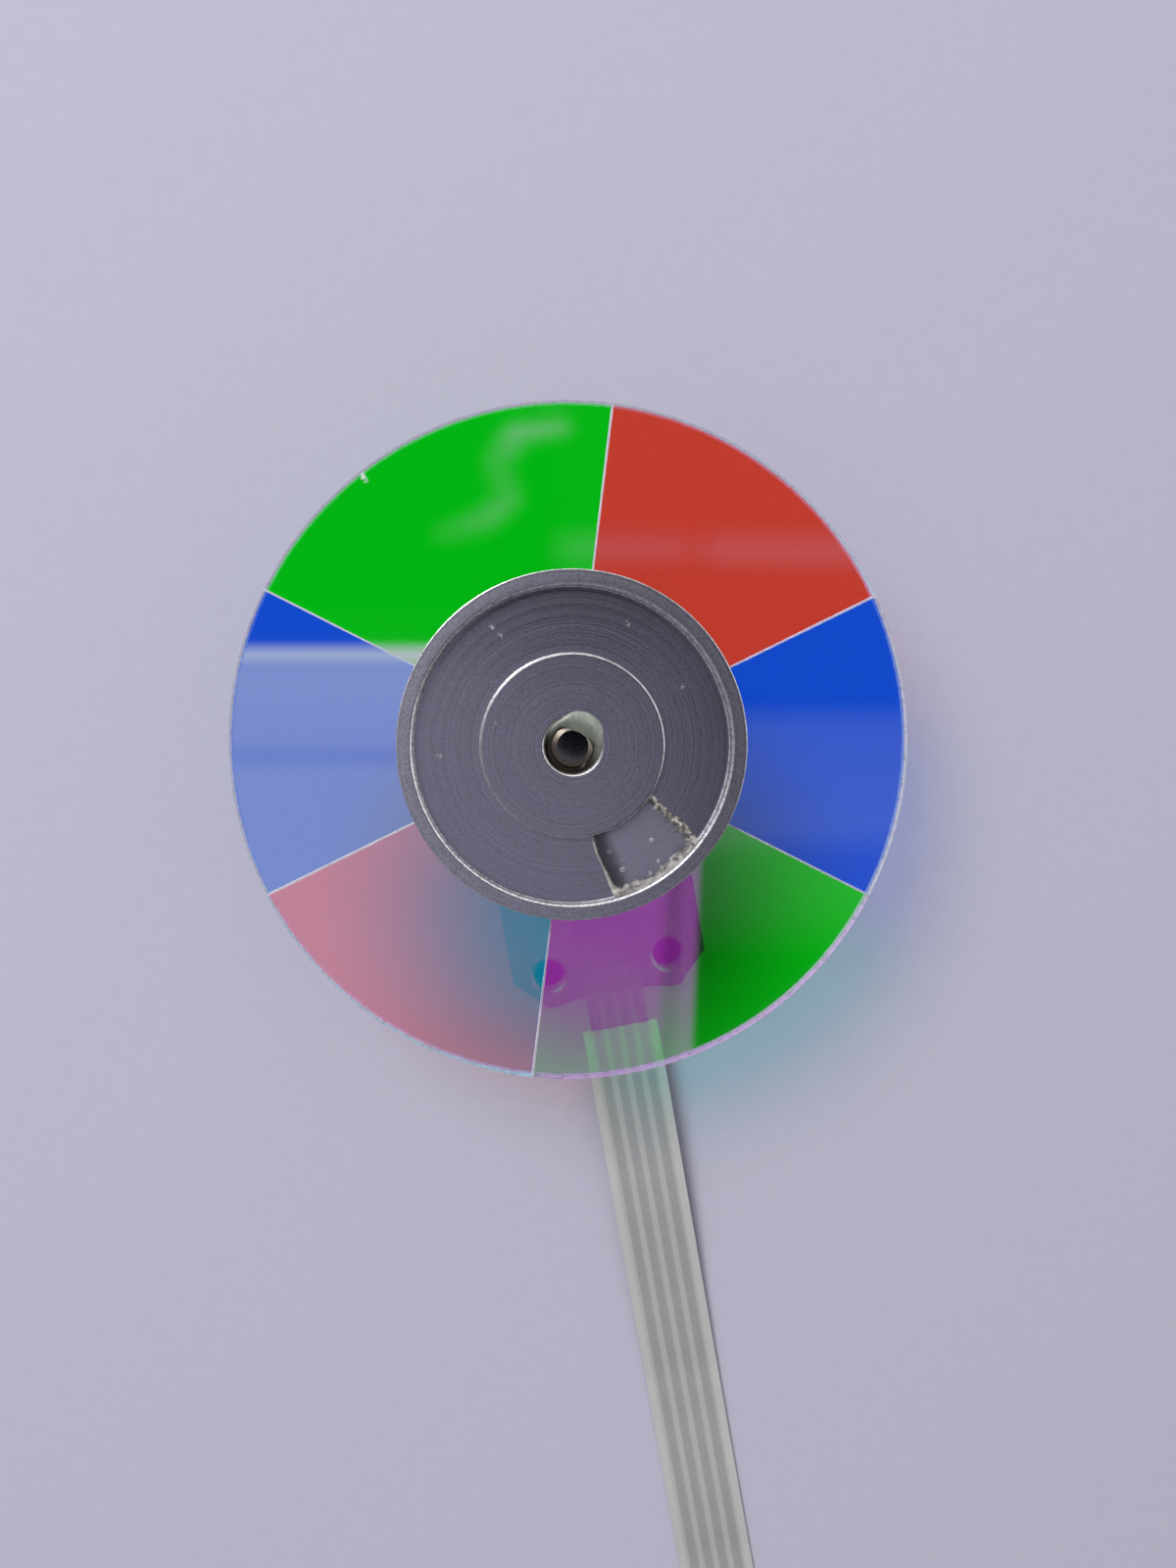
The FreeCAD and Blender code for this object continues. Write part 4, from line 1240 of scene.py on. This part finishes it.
def grained(name, dark, pale, grain_mm, rough, metallic=0.0, stretch=(1, 1, 1), relief_mm=0.01):
    """A finish whose colour, gloss and relief vary with grain of a real size."""
    material, tree, place = start_material(name)
    pulled = add_node(tree, "Mapping", {}, {"Vector": place, "Scale": stretch})
    grain = add_node(
        tree,
        "TexNoise",
        {},
        {"Vector": pulled.outputs["Vector"], "Scale": 1 / grain_mm, "Detail": 4.0, "Roughness": 0.6},
    )
    tint = add_node(
        tree,
        "Mix",
        {"data_type": "RGBA"},
        {0: grain.outputs["Fac"], 6: colour(dark), 7: colour(pale)},
    )
    shine = add_node(
        tree,
        "MapRange",
        {},
        {"Value": grain.outputs["Fac"], "To Min": rough[0], "To Max": rough[1]},
    )
    relief = add_node(
        tree,
        "Bump",
        {},
        {"Height": grain.outputs["Fac"], "Strength": 0.4, "Distance": relief_mm * MM},
    )
    shader = add_node(
        tree,
        "BsdfPrincipled",
        {},
        {
            "Base Color": tint.outputs[2],
            "Metallic": metallic,
            "Roughness": shine.outputs[0],
            "Normal": relief.outputs["Normal"],
        },
    )
    return end_material(material, shader.outputs[0])


def dress(material, *nodes):
    """Gives CAD nodes a better material in their own slots."""
    for node in nodes:
        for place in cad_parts[node].material_slots:
            place.material = material
    print(material.name, "on", ", ".join(nodes))


# %% Metals
dress(grained("milled_aluminium", "#7C7D84", "#A3A4AD", 0.25, (0.3, 0.5), 1.0, (1, 0.08, 1)), "base_plate")
dress(turned_aluminium, "rotor_hub")
dress(
    grained("turned_brass", "#A98B4E", "#C9AB69", 0.3, (0.22, 0.38), 1.0, (0.1, 0.1, 1)),
    "bearing_sleeve",
)
dress(grained("sintered_bronze", "#6E4F2E", "#A57C4B", 0.08, (0.5, 0.75), 1.0), "bearing_bush")
dress(
    grained("zinc_plated_drawn_steel", "#A4A6AB", "#C2C4C9", 0.6, (0.24, 0.4), 1.0, (1, 1, 0.1)),
    "rotor_yoke",
)
dress(grained("pressed_steel_sheet", "#9A9A9E", "#BCBCC0", 0.4, (0.3, 0.45), 1.0), "sleeve_cap")
dress(grained("bright_solder", "#B6B7BB", "#D8D9DC", 0.3, (0.15, 0.35), 1.0), "lead_solder")
dress(
    grained("tinned_copper", "#BDBBB4", "#DAD8D2", 0.15, (0.2, 0.4), 1.0),
    "cable_contacts",
    "cable_conductor_ends",
)
dress(grained("bonded_ring_magnet", "#26262A", "#3C3C42", 0.12, (0.45, 0.65)), "rotor_magnet")

# %% Plastics, paint and glue
dress(grained("moulded_nylon", "#C9C5B4", "#DBD8CB", 0.5, (0.45, 0.6)), "upper_insulator", "lower_insulator")
dress(grained("natural_nylon", "#D2CFC0", "#E2E0D6", 0.4, (0.4, 0.55)), "oil_guard")
dress(grained("acetal", "#DADAD6", "#EDEDEA", 0.4, (0.3, 0.45)), "thrust_plate", "stop_ring")
dress(grained("matte_black_paint", "#111112", "#1E1E20", 0.1, (0.6, 0.8)), "timing_mark")
dress(grained("blue_stiffener_film", "#1D44A6", "#2A55BE", 0.6, (0.3, 0.45)), "cable_stiffener")
dress(grained("cured_bond_film", "#B9B7AC", "#CFCDC4", 0.3, (0.3, 0.5)), "filter_adhesive")

# %% [markdown]
# The flexible circuit is thin polyimide under a dark cover film, and it lets some light through. So its
# tail looks paler where only the table is behind it. Its finish is a grained one that is mixed with a
# Transparent shader.

# %% Flexible circuit
BOARD_CLEARNESS = 0.5
cover_film = grained("dark_cover_film", "#82787F", "#A1959B", 0.4, (0.35, 0.5))
tree = cover_film.node_tree
body = next(node for node in tree.nodes if node.type == "BSDF_PRINCIPLED")
end = next(node for node in tree.nodes if node.type == "OUTPUT_MATERIAL")
clear = add_node(tree, "BsdfTransparent", {}, {"Color": colour("#F2DCC8")})
sheer = add_node(tree, "MixShader", {}, {0: BOARD_CLEARNESS, 1: body.outputs[0], 2: clear.outputs[0]})
tree.links.new(sheer.outputs[0], end.inputs["Surface"])
dress(cover_film, "circuit_board")

# %% Laminations and windings
dress(
    grained("stamped_laminations", "#55565A", "#84858A", 0.35, (0.4, 0.6), 1.0, (0.05, 0.05, 1)),
    "stator_core",
)
dress(
    grained("enamelled_copper_wire", "#7E3D1B", "#C8763C", 0.2, (0.2, 0.4), 1.0, (1, 1, 0.3)),
    "coil_windings",
    "winding_leads",
)

# %% [markdown]
# ## The table
# The wheel lies on a sheet of pale card under daylight, which the camera shows a little lavender. The
# floor is stage. Its colour is the background's colour, and a fine paper grain keeps it from looking
# empty. Under the disc, light goes back and forth between the glass and the paper many times, which a
# short render can't follow. So the paper that the camera sees through the glass gets that bounced light as
# a plain glow, weaker near the hub and dark under the plate's two screw holes.

# %% Paper and its look through the glass
SHADE_CENTRE = (2.2, -14.5, 0.0)
SHADE_FROM = 6.0
SHADE_TO = 24.5
SHADE_DARK = 0.22
SHADE_PALE = 1.05
BOUNCED_SHARE = 0.9
HOLE_PLACE = (5.0, -18.65, 0.0)
HOLE_SHADE = (2.0, 2.6)

paper, tree, place = start_material("pale_card_floor")
fibres = add_node(tree, "TexNoise", {}, {"Vector": place, "Scale": 0.8, "Detail": 6.0, "Roughness": 0.6})
sheet_tone = add_node(
    tree,
    "Mix",
    {"data_type": "RGBA"},
    {0: fibres.outputs["Fac"], 6: colour("#B8B6C6"), 7: colour("#BFBDCD")},
)
lit = add_node(
    tree,
    "BsdfPrincipled",
    {},
    {"Base Color": sheet_tone.outputs[2], "Roughness": 0.85},
)
in_picture = add_node(tree, "Mapping", {}, {"Vector": place, "Rotation": (0, 0, PICTURE_TURN)})
from_shade = add_node(
    tree,
    "VectorMath",
    {"operation": "DISTANCE"},
    {0: in_picture.outputs[0], 1: SHADE_CENTRE},
)
brightness = add_node(
    tree,
    "MapRange",
    {"interpolation_type": "SMOOTHSTEP"},
    {
        "Value": from_shade.outputs["Value"],
        "From Min": SHADE_FROM,
        "From Max": SHADE_TO,
        "To Min": SHADE_DARK,
        "To Max": SHADE_PALE,
    },
)
parts = add_node(tree, "SeparateXYZ", {}, {0: place})
sideways = add_node(tree, "Math", {"operation": "ABSOLUTE"}, {0: parts.outputs["X"]})
folded = add_node(tree, "CombineXYZ", {}, {"X": sideways.outputs[0], "Y": parts.outputs["Y"]})
from_hole = add_node(tree, "VectorMath", {"operation": "DISTANCE"}, {0: folded.outputs[0], 1: HOLE_PLACE})
beside_hole = smooth_share(tree, from_hole.outputs["Value"], HOLE_SHADE[0], HOLE_SHADE[1], 0.02, 1.0)
glowing = add_node(tree, "Math", {"operation": "MULTIPLY"}, {0: brightness.outputs[0], 1: beside_hole})
bounced = add_node(
    tree,
    "Emission",
    {},
    {"Color": sheet_tone.outputs[2], "Strength": glowing.outputs[0]},
)
under_hole = smooth_share(tree, from_hole.outputs["Value"], HOLE_SHADE[0], HOLE_SHADE[1], 1.0, BOUNCED_SHARE)
light_path = add_node(tree, "LightPath")
through_glass = add_node(
    tree,
    "Math",
    {"operation": "GREATER_THAN"},
    {0: light_path.outputs["Transparent Depth"], 1: 0.5},
)
seen_through = add_node(
    tree,
    "Math",
    {"operation": "MULTIPLY"},
    {0: through_glass.outputs[0], 1: light_path.outputs["Is Camera Ray"]},
)
share = add_node(
    tree,
    "Math",
    {"operation": "MULTIPLY"},
    {0: seen_through.outputs[0], 1: under_hole},
)
shader = add_node(
    tree,
    "MixShader",
    {},
    {0: share.outputs[0], 1: lit.outputs[0], 2: bounced.outputs[0]},
)
end_material(paper, shader.outputs[0])

# %% Floor
FLOOR_HALF = 2.0
shape = bmesh.new()
bmesh.ops.create_grid(shape, x_segments=1, y_segments=1, size=FLOOR_HALF)
floor_mesh = bpy.data.meshes.new("floor")
shape.to_mesh(floor_mesh)
shape.free()
floor_mesh.materials.append(paper)
floor = bpy.data.objects.new("floor", floor_mesh)
bpy.context.collection.objects.link(floor)

# %% [markdown]
# ## Light
# The picture was taken near a window: one broad soft light from the upper left, and a bright room round
# it. The shadows are soft and lie to the lower right, and they are tinted where the light has gone
# through the glass. One area lamp and an even sky give that. The metal mirrors the room too: bright walls
# behind the top and the right of the picture, which the bevels catch, and dim ones elsewhere. The sky's
# level for glossy rays follows that.

# %% Window light
LAMP_PLACE = Vector((-0.283, 0.452, 0.593))
LAMP_SIZE = 0.42
LAMP_WATTS = 4.7

lamp = bpy.data.objects.new("window", bpy.data.lights.new("window", "AREA"))
lamp.data.shape = "DISK"
lamp.data.size = LAMP_SIZE
lamp.data.energy = LAMP_WATTS
lamp.location = LAMP_PLACE
lamp.rotation_euler = LAMP_PLACE.to_track_quat("Z", "Y").to_euler()
bpy.context.collection.objects.link(lamp)

# %% Sky, and the walls in the reflections
SKY_DIFFUSE = 0.47
SKY_SEEN = 0.8
WALL_DIM = 0.2
WALL_BRIGHT = 1.3
WALL_DIRECTION = (0.5, 0.866, 0.0)

world = bpy.data.worlds.new("room")
world.use_nodes = True
bpy.context.scene.world = world
tree = world.node_tree
tree.nodes.clear()
rays = add_node(tree, "LightPath")
looking = add_node(tree, "TexCoord")
level_look = add_node(
    tree,
    "VectorMath",
    {"operation": "MULTIPLY"},
    {0: looking.outputs["Generated"], 1: (1.0, 1.0, 0.0)},
)
heading = add_node(tree, "VectorMath", {"operation": "NORMALIZE"}, {0: level_look.outputs[0]})
facing = add_node(
    tree,
    "VectorMath",
    {"operation": "DOT_PRODUCT"},
    {0: heading.outputs[0], 1: WALL_DIRECTION},
)
wall = add_node(
    tree,
    "MapRange",
    {"interpolation_type": "SMOOTHSTEP"},
    {
        "Value": facing.outputs["Value"],
        "From Min": -0.3,
        "From Max": 0.5,
        "To Min": WALL_DIM,
        "To Max": WALL_BRIGHT,
    },
)
mirrored = add_node(
    tree,
    "Mix",
    {"data_type": "FLOAT"},
    {0: rays.outputs["Is Glossy Ray"], 2: SKY_DIFFUSE, 3: wall.outputs[0]},
)
level = add_node(
    tree,
    "Mix",
    {"data_type": "FLOAT"},
    {0: rays.outputs["Is Camera Ray"], 2: mirrored.outputs[0], 3: SKY_SEEN},
)
sky = add_node(
    tree,
    "Background",
    {},
    {"Color": colour("#F4F4FC"), "Strength": level.outputs[0]},
)
add_node(tree, "OutputWorld", {}, {"Surface": sky.outputs[0]})

# %% [markdown]
# ## What the wheel mirrors
# The flat glass and the metal mirror the ceiling, which is bright at the lower left of the picture, and
# the dark telephone over the rest. A photographer would hang a card over the object to place such a
# reflection. The card here is seen by glossy rays only, so it lights nothing and casts no shadow. Its
# pattern is laid out in the picture's own directions: a point on the glass mirrors a point on the card
# that lies further out from the camera, in proportion to the card's height.

# %% Where the card's pattern lies
CARD_HEIGHT = 160.0
CARD_HALF = 150.0
SHADOWED_LEVEL = 0.0015

camera_height = CAMERA_PLACE.z / MM - GLASS_BACK
spread = (CARD_HEIGHT - GLASS_BACK) / camera_height
shrink = 1 / (1 + spread)
to_picture = Matrix.Rotation(PICTURE_TURN, 3, "Z")
offset = to_picture @ Vector((CAMERA_PLACE.x / MM, CAMERA_PLACE.y / MM, 0)) * (spread * shrink)
print("a millimetre on the glass mirrors", round(1 + spread, 2), "mm of the card")

# %% [markdown]
# The levels on the card are lists of a pixel and a brightness. Down the left part of the picture the
# ceiling starts with a bright bar and has a thin dark one lower down. Across it there is a dim stripe
# before the edge. The right part is dark, with a weak bar at the top and a weak patch lower down. A Color
# Ramp turns each list into a smooth level. A curtain's bright fold crosses the upper green sector as a
# bent streak, which is drawn as a soft bent line, brightest near its top end.

# %% Levels of the mirrored room
LEVELS_LEFT = [
    (532.0, SHADOWED_LEVEL),
    (560.0, 0.045),
    (584.0, SHADOWED_LEVEL),
    (654.0, SHADOWED_LEVEL),
    (668.0, 0.52),
    (680.0, 0.29),
    (693.0, 0.31),
    (756.0, 0.28),
    (772.0, 0.22),
    (788.0, 0.285),
    (900.0, 0.285),
    (960.0, 0.29),
    (1020.0, 0.27),
    (1060.0, 0.235),
    (1100.0, 0.225),
]
LEVELS_RIGHT = [
    (532.0, SHADOWED_LEVEL),
    (560.0, 0.055),
    (588.0, SHADOWED_LEVEL),
    (716.0, SHADOWED_LEVEL),
    (744.0, 0.055),
    (845.0, 0.075),
    (880.0, 0.03),
    (930.0, 0.02),
    (980.0, SHADOWED_LEVEL),
]
LEVELS_ACROSS = [
    (240.0, 1.0),
    (674.0, 1.0),
    (686.0, 0.62),
    (694.0, 0.66),
    (702.0, 0.85),
    (709.0, 0.8),
]
CEILING_EDGE_PX = 714.0
CEILING_ROW_PX = 900.0
CEILING_COLUMN_PX = 400.0
CEILING_EDGE_SOFT_PX = 5.0
CEILING_EDGE_TILT = 0.04
UPPER_BAR_LEFT_PX = (550.0, 595.0)
STREAK_PX = [(568, 430), (530, 440), (508, 474), (519, 506), (496, 532), (455, 552)]
STREAK_HALF_PX = 34.0
STREAK_LEVELS = [
    (424.0, 0.03),
    (440.0, 0.14),
    (452.0, 0.085),
    (474.0, 0.038),
    (500.0, 0.042),
    (520.0, 0.07),
    (532.0, 0.058),
    (544.0, 0.025),
    (562.0, 0.0),
]
LENS_SPOT_PX = (590.0, 745.0)
LENS_SPOT_RADIUS_PX = 30.0


def glass_right(right_px):
    """A pixel's place across the picture, in millimetres on the coated face."""
    return (to_picture @ pixel_place(right_px, CEILING_ROW_PX, GLASS_BACK)).x


def glass_up(down_px):
    """A pixel's place up the picture, in millimetres on the coated face."""
    return (to_picture @ pixel_place(CEILING_COLUMN_PX, down_px, GLASS_BACK)).y


def level_ramp(tree, value, levels):
    """A level that follows a list of places in millimetres and brightnesses."""
    low, high = levels[0][0], levels[-1][0]
    share = add_node(tree, "MapRange", {}, {"Value": value, "From Min": low, "From Max": high})
    ramp = add_node(tree, "ValToRGB", {}, {0: share.outputs[0]})
    stops = ramp.color_ramp.elements
    stops.remove(stops[1])
    for at, (place, brightness) in enumerate(levels):
        stop = stops[0] if at == 0 else stops.new((place - low) / (high - low))
        stop.position = (place - low) / (high - low)
        stop.color = (brightness, brightness, brightness, 1.0)
    return ramp.outputs["Color"]


def line_distance(tree, place, start, end):
    """How far a point is from a straight line between two points."""
    along = end - start
    from_start = add_node(tree, "VectorMath", {"operation": "SUBTRACT"}, {0: place, 1: start})
    forward = add_node(
        tree,
        "VectorMath",
        {"operation": "DOT_PRODUCT"},
        {0: from_start.outputs[0], 1: along / along.length_squared},
    )
    held = add_node(tree, "Clamp", {}, {"Value": forward.outputs["Value"]})
    step = add_node(tree, "VectorMath", {"operation": "SCALE"}, {0: along, "Scale": held.outputs[0]})
    away = add_node(tree, "VectorMath", {"operation": "DISTANCE"}, {0: from_start.outputs[0], 1: step.outputs[0]})
    return away.outputs["Value"]


# %% Reflection card
card_light, tree, place = start_material("ceiling_and_room")
on_glass = add_node(
    tree,
    "Mapping",
    {},
    {
        "Vector": place,
        "Location": offset,
        "Rotation": (0, 0, PICTURE_TURN),
        "Scale": (shrink, shrink, shrink),
    },
)
parts = add_node(tree, "SeparateXYZ", {}, {0: on_glass.outputs[0]})
from_row = add_node(tree, "Math", {"operation": "SUBTRACT"}, {0: parts.outputs["Y"], 1: glass_up(CEILING_ROW_PX)})
tilt = add_node(
    tree,
    "Math",
    {"operation": "MULTIPLY_ADD"},
    {0: from_row.outputs[0], 1: -CEILING_EDGE_TILT, 2: parts.outputs["X"]},
)
down_left = level_ramp(tree, parts.outputs["Y"], [(glass_up(px), v) for px, v in reversed(LEVELS_LEFT)])
down_right = level_ramp(tree, parts.outputs["Y"], [(glass_up(px), v) for px, v in reversed(LEVELS_RIGHT)])
across_left = level_ramp(tree, tilt.outputs[0], [(glass_right(px), v) for px, v in LEVELS_ACROSS])
striped = add_node(tree, "Math", {"operation": "MULTIPLY"}, {0: down_left, 1: across_left})
edge_low = glass_right(CEILING_EDGE_PX - CEILING_EDGE_SOFT_PX)
edge_high = glass_right(CEILING_EDGE_PX + CEILING_EDGE_SOFT_PX)
rightward = smooth_share(tree, tilt.outputs[0], edge_low, edge_high, 0.0, 1.0)
sides = add_node(tree, "Mix", {"data_type": "FLOAT"}, {0: rightward, 2: striped.outputs[0], 3: down_right})
bar_low, bar_high = [glass_right(px) for px in UPPER_BAR_LEFT_PX]
bar_share = smooth_share(tree, parts.outputs["X"], bar_low, bar_high, 0.0, 1.0)
lower = add_node(tree, "Math", {"operation": "LESS_THAN"}, {0: parts.outputs["Y"], 1: glass_up(620.0)})
shown = add_node(tree, "Math", {"operation": "MAXIMUM"}, {0: bar_share, 1: lower.outputs[0]})
barred = add_node(tree, "Math", {"operation": "MULTIPLY"}, {0: sides.outputs[0], 1: shown.outputs[0]})
lens_spot = to_picture @ pixel_place(*LENS_SPOT_PX, GLASS_BACK)
lens_spot.z = 0.0
flat_on_glass = add_node(
    tree,
    "VectorMath",
    {"operation": "MULTIPLY"},
    {0: on_glass.outputs[0], 1: (1.0, 1.0, 0.0)},
)
from_lens = add_node(tree, "VectorMath", {"operation": "DISTANCE"}, {0: flat_on_glass.outputs[0], 1: lens_spot})
streak_places = [to_picture @ pixel_place(right_px, down_px, GLASS_BACK) for right_px, down_px in STREAK_PX]
from_streak = 1000.0
for start, end in zip(streak_places, streak_places[1:]):
    away = line_distance(tree, flat_on_glass.outputs[0], start * Vector((1, 1, 0)), end * Vector((1, 1, 0)))
    nearest = add_node(tree, "Math", {"operation": "MINIMUM"}, {0: away, 1: from_streak})
    from_streak = nearest.outputs[0]
streak_half = STREAK_HALF_PX / FOCAL_PX * camera_height
line_share = smooth_share(tree, from_streak, 0.0, streak_half, 1.0, 0.0)
line_level = level_ramp(tree, parts.outputs["Y"], [(glass_up(px), v) for px, v in reversed(STREAK_LEVELS)])
softened = add_node(tree, "Math", {"operation": "POWER"}, {0: line_share, 1: 2.2})
streaked = add_node(
    tree,
    "Math",
    {"operation": "MULTIPLY_ADD"},
    {0: softened.outputs[0], 1: line_level, 2: barred.outputs[0]},
)
spot_radius = LENS_SPOT_RADIUS_PX / FOCAL_PX * camera_height
beside_lens = smooth_share(tree, from_lens.outputs["Value"], 0.85 * spot_radius, 1.1 * spot_radius, 0.0, 1.0)
level = add_node(
    tree,
    "Mix",
    {"data_type": "FLOAT"},
    {0: beside_lens, 2: SHADOWED_LEVEL, 3: streaked.outputs[0]},
)
glow = add_node(
    tree,
    "Emission",
    {},
    {"Color": colour("#F2F2FF"), "Strength": level.outputs[0]},
)
end_material(card_light, glow.outputs[0])

shape = bmesh.new()
bmesh.ops.create_grid(shape, x_segments=1, y_segments=1, size=CARD_HALF * MM)
bmesh.ops.translate(shape, vec=(0, 0, CARD_HEIGHT * MM), verts=shape.verts)
card_mesh = bpy.data.meshes.new("reflection_card")
shape.to_mesh(card_mesh)
shape.free()
card_mesh.materials.append(card_light)
card = bpy.data.objects.new("reflection_card", card_mesh)
bpy.context.collection.objects.link(card)
card.visible_camera = False
card.visible_diffuse = False
card.visible_transmission = False
card.visible_volume_scatter = False
card.visible_shadow = False

# %% [markdown]
# ## Colour management and the end
# The Standard transform shows a colour as it is written.

# %% Finish
bpy.context.scene.view_settings.view_transform = "Standard"
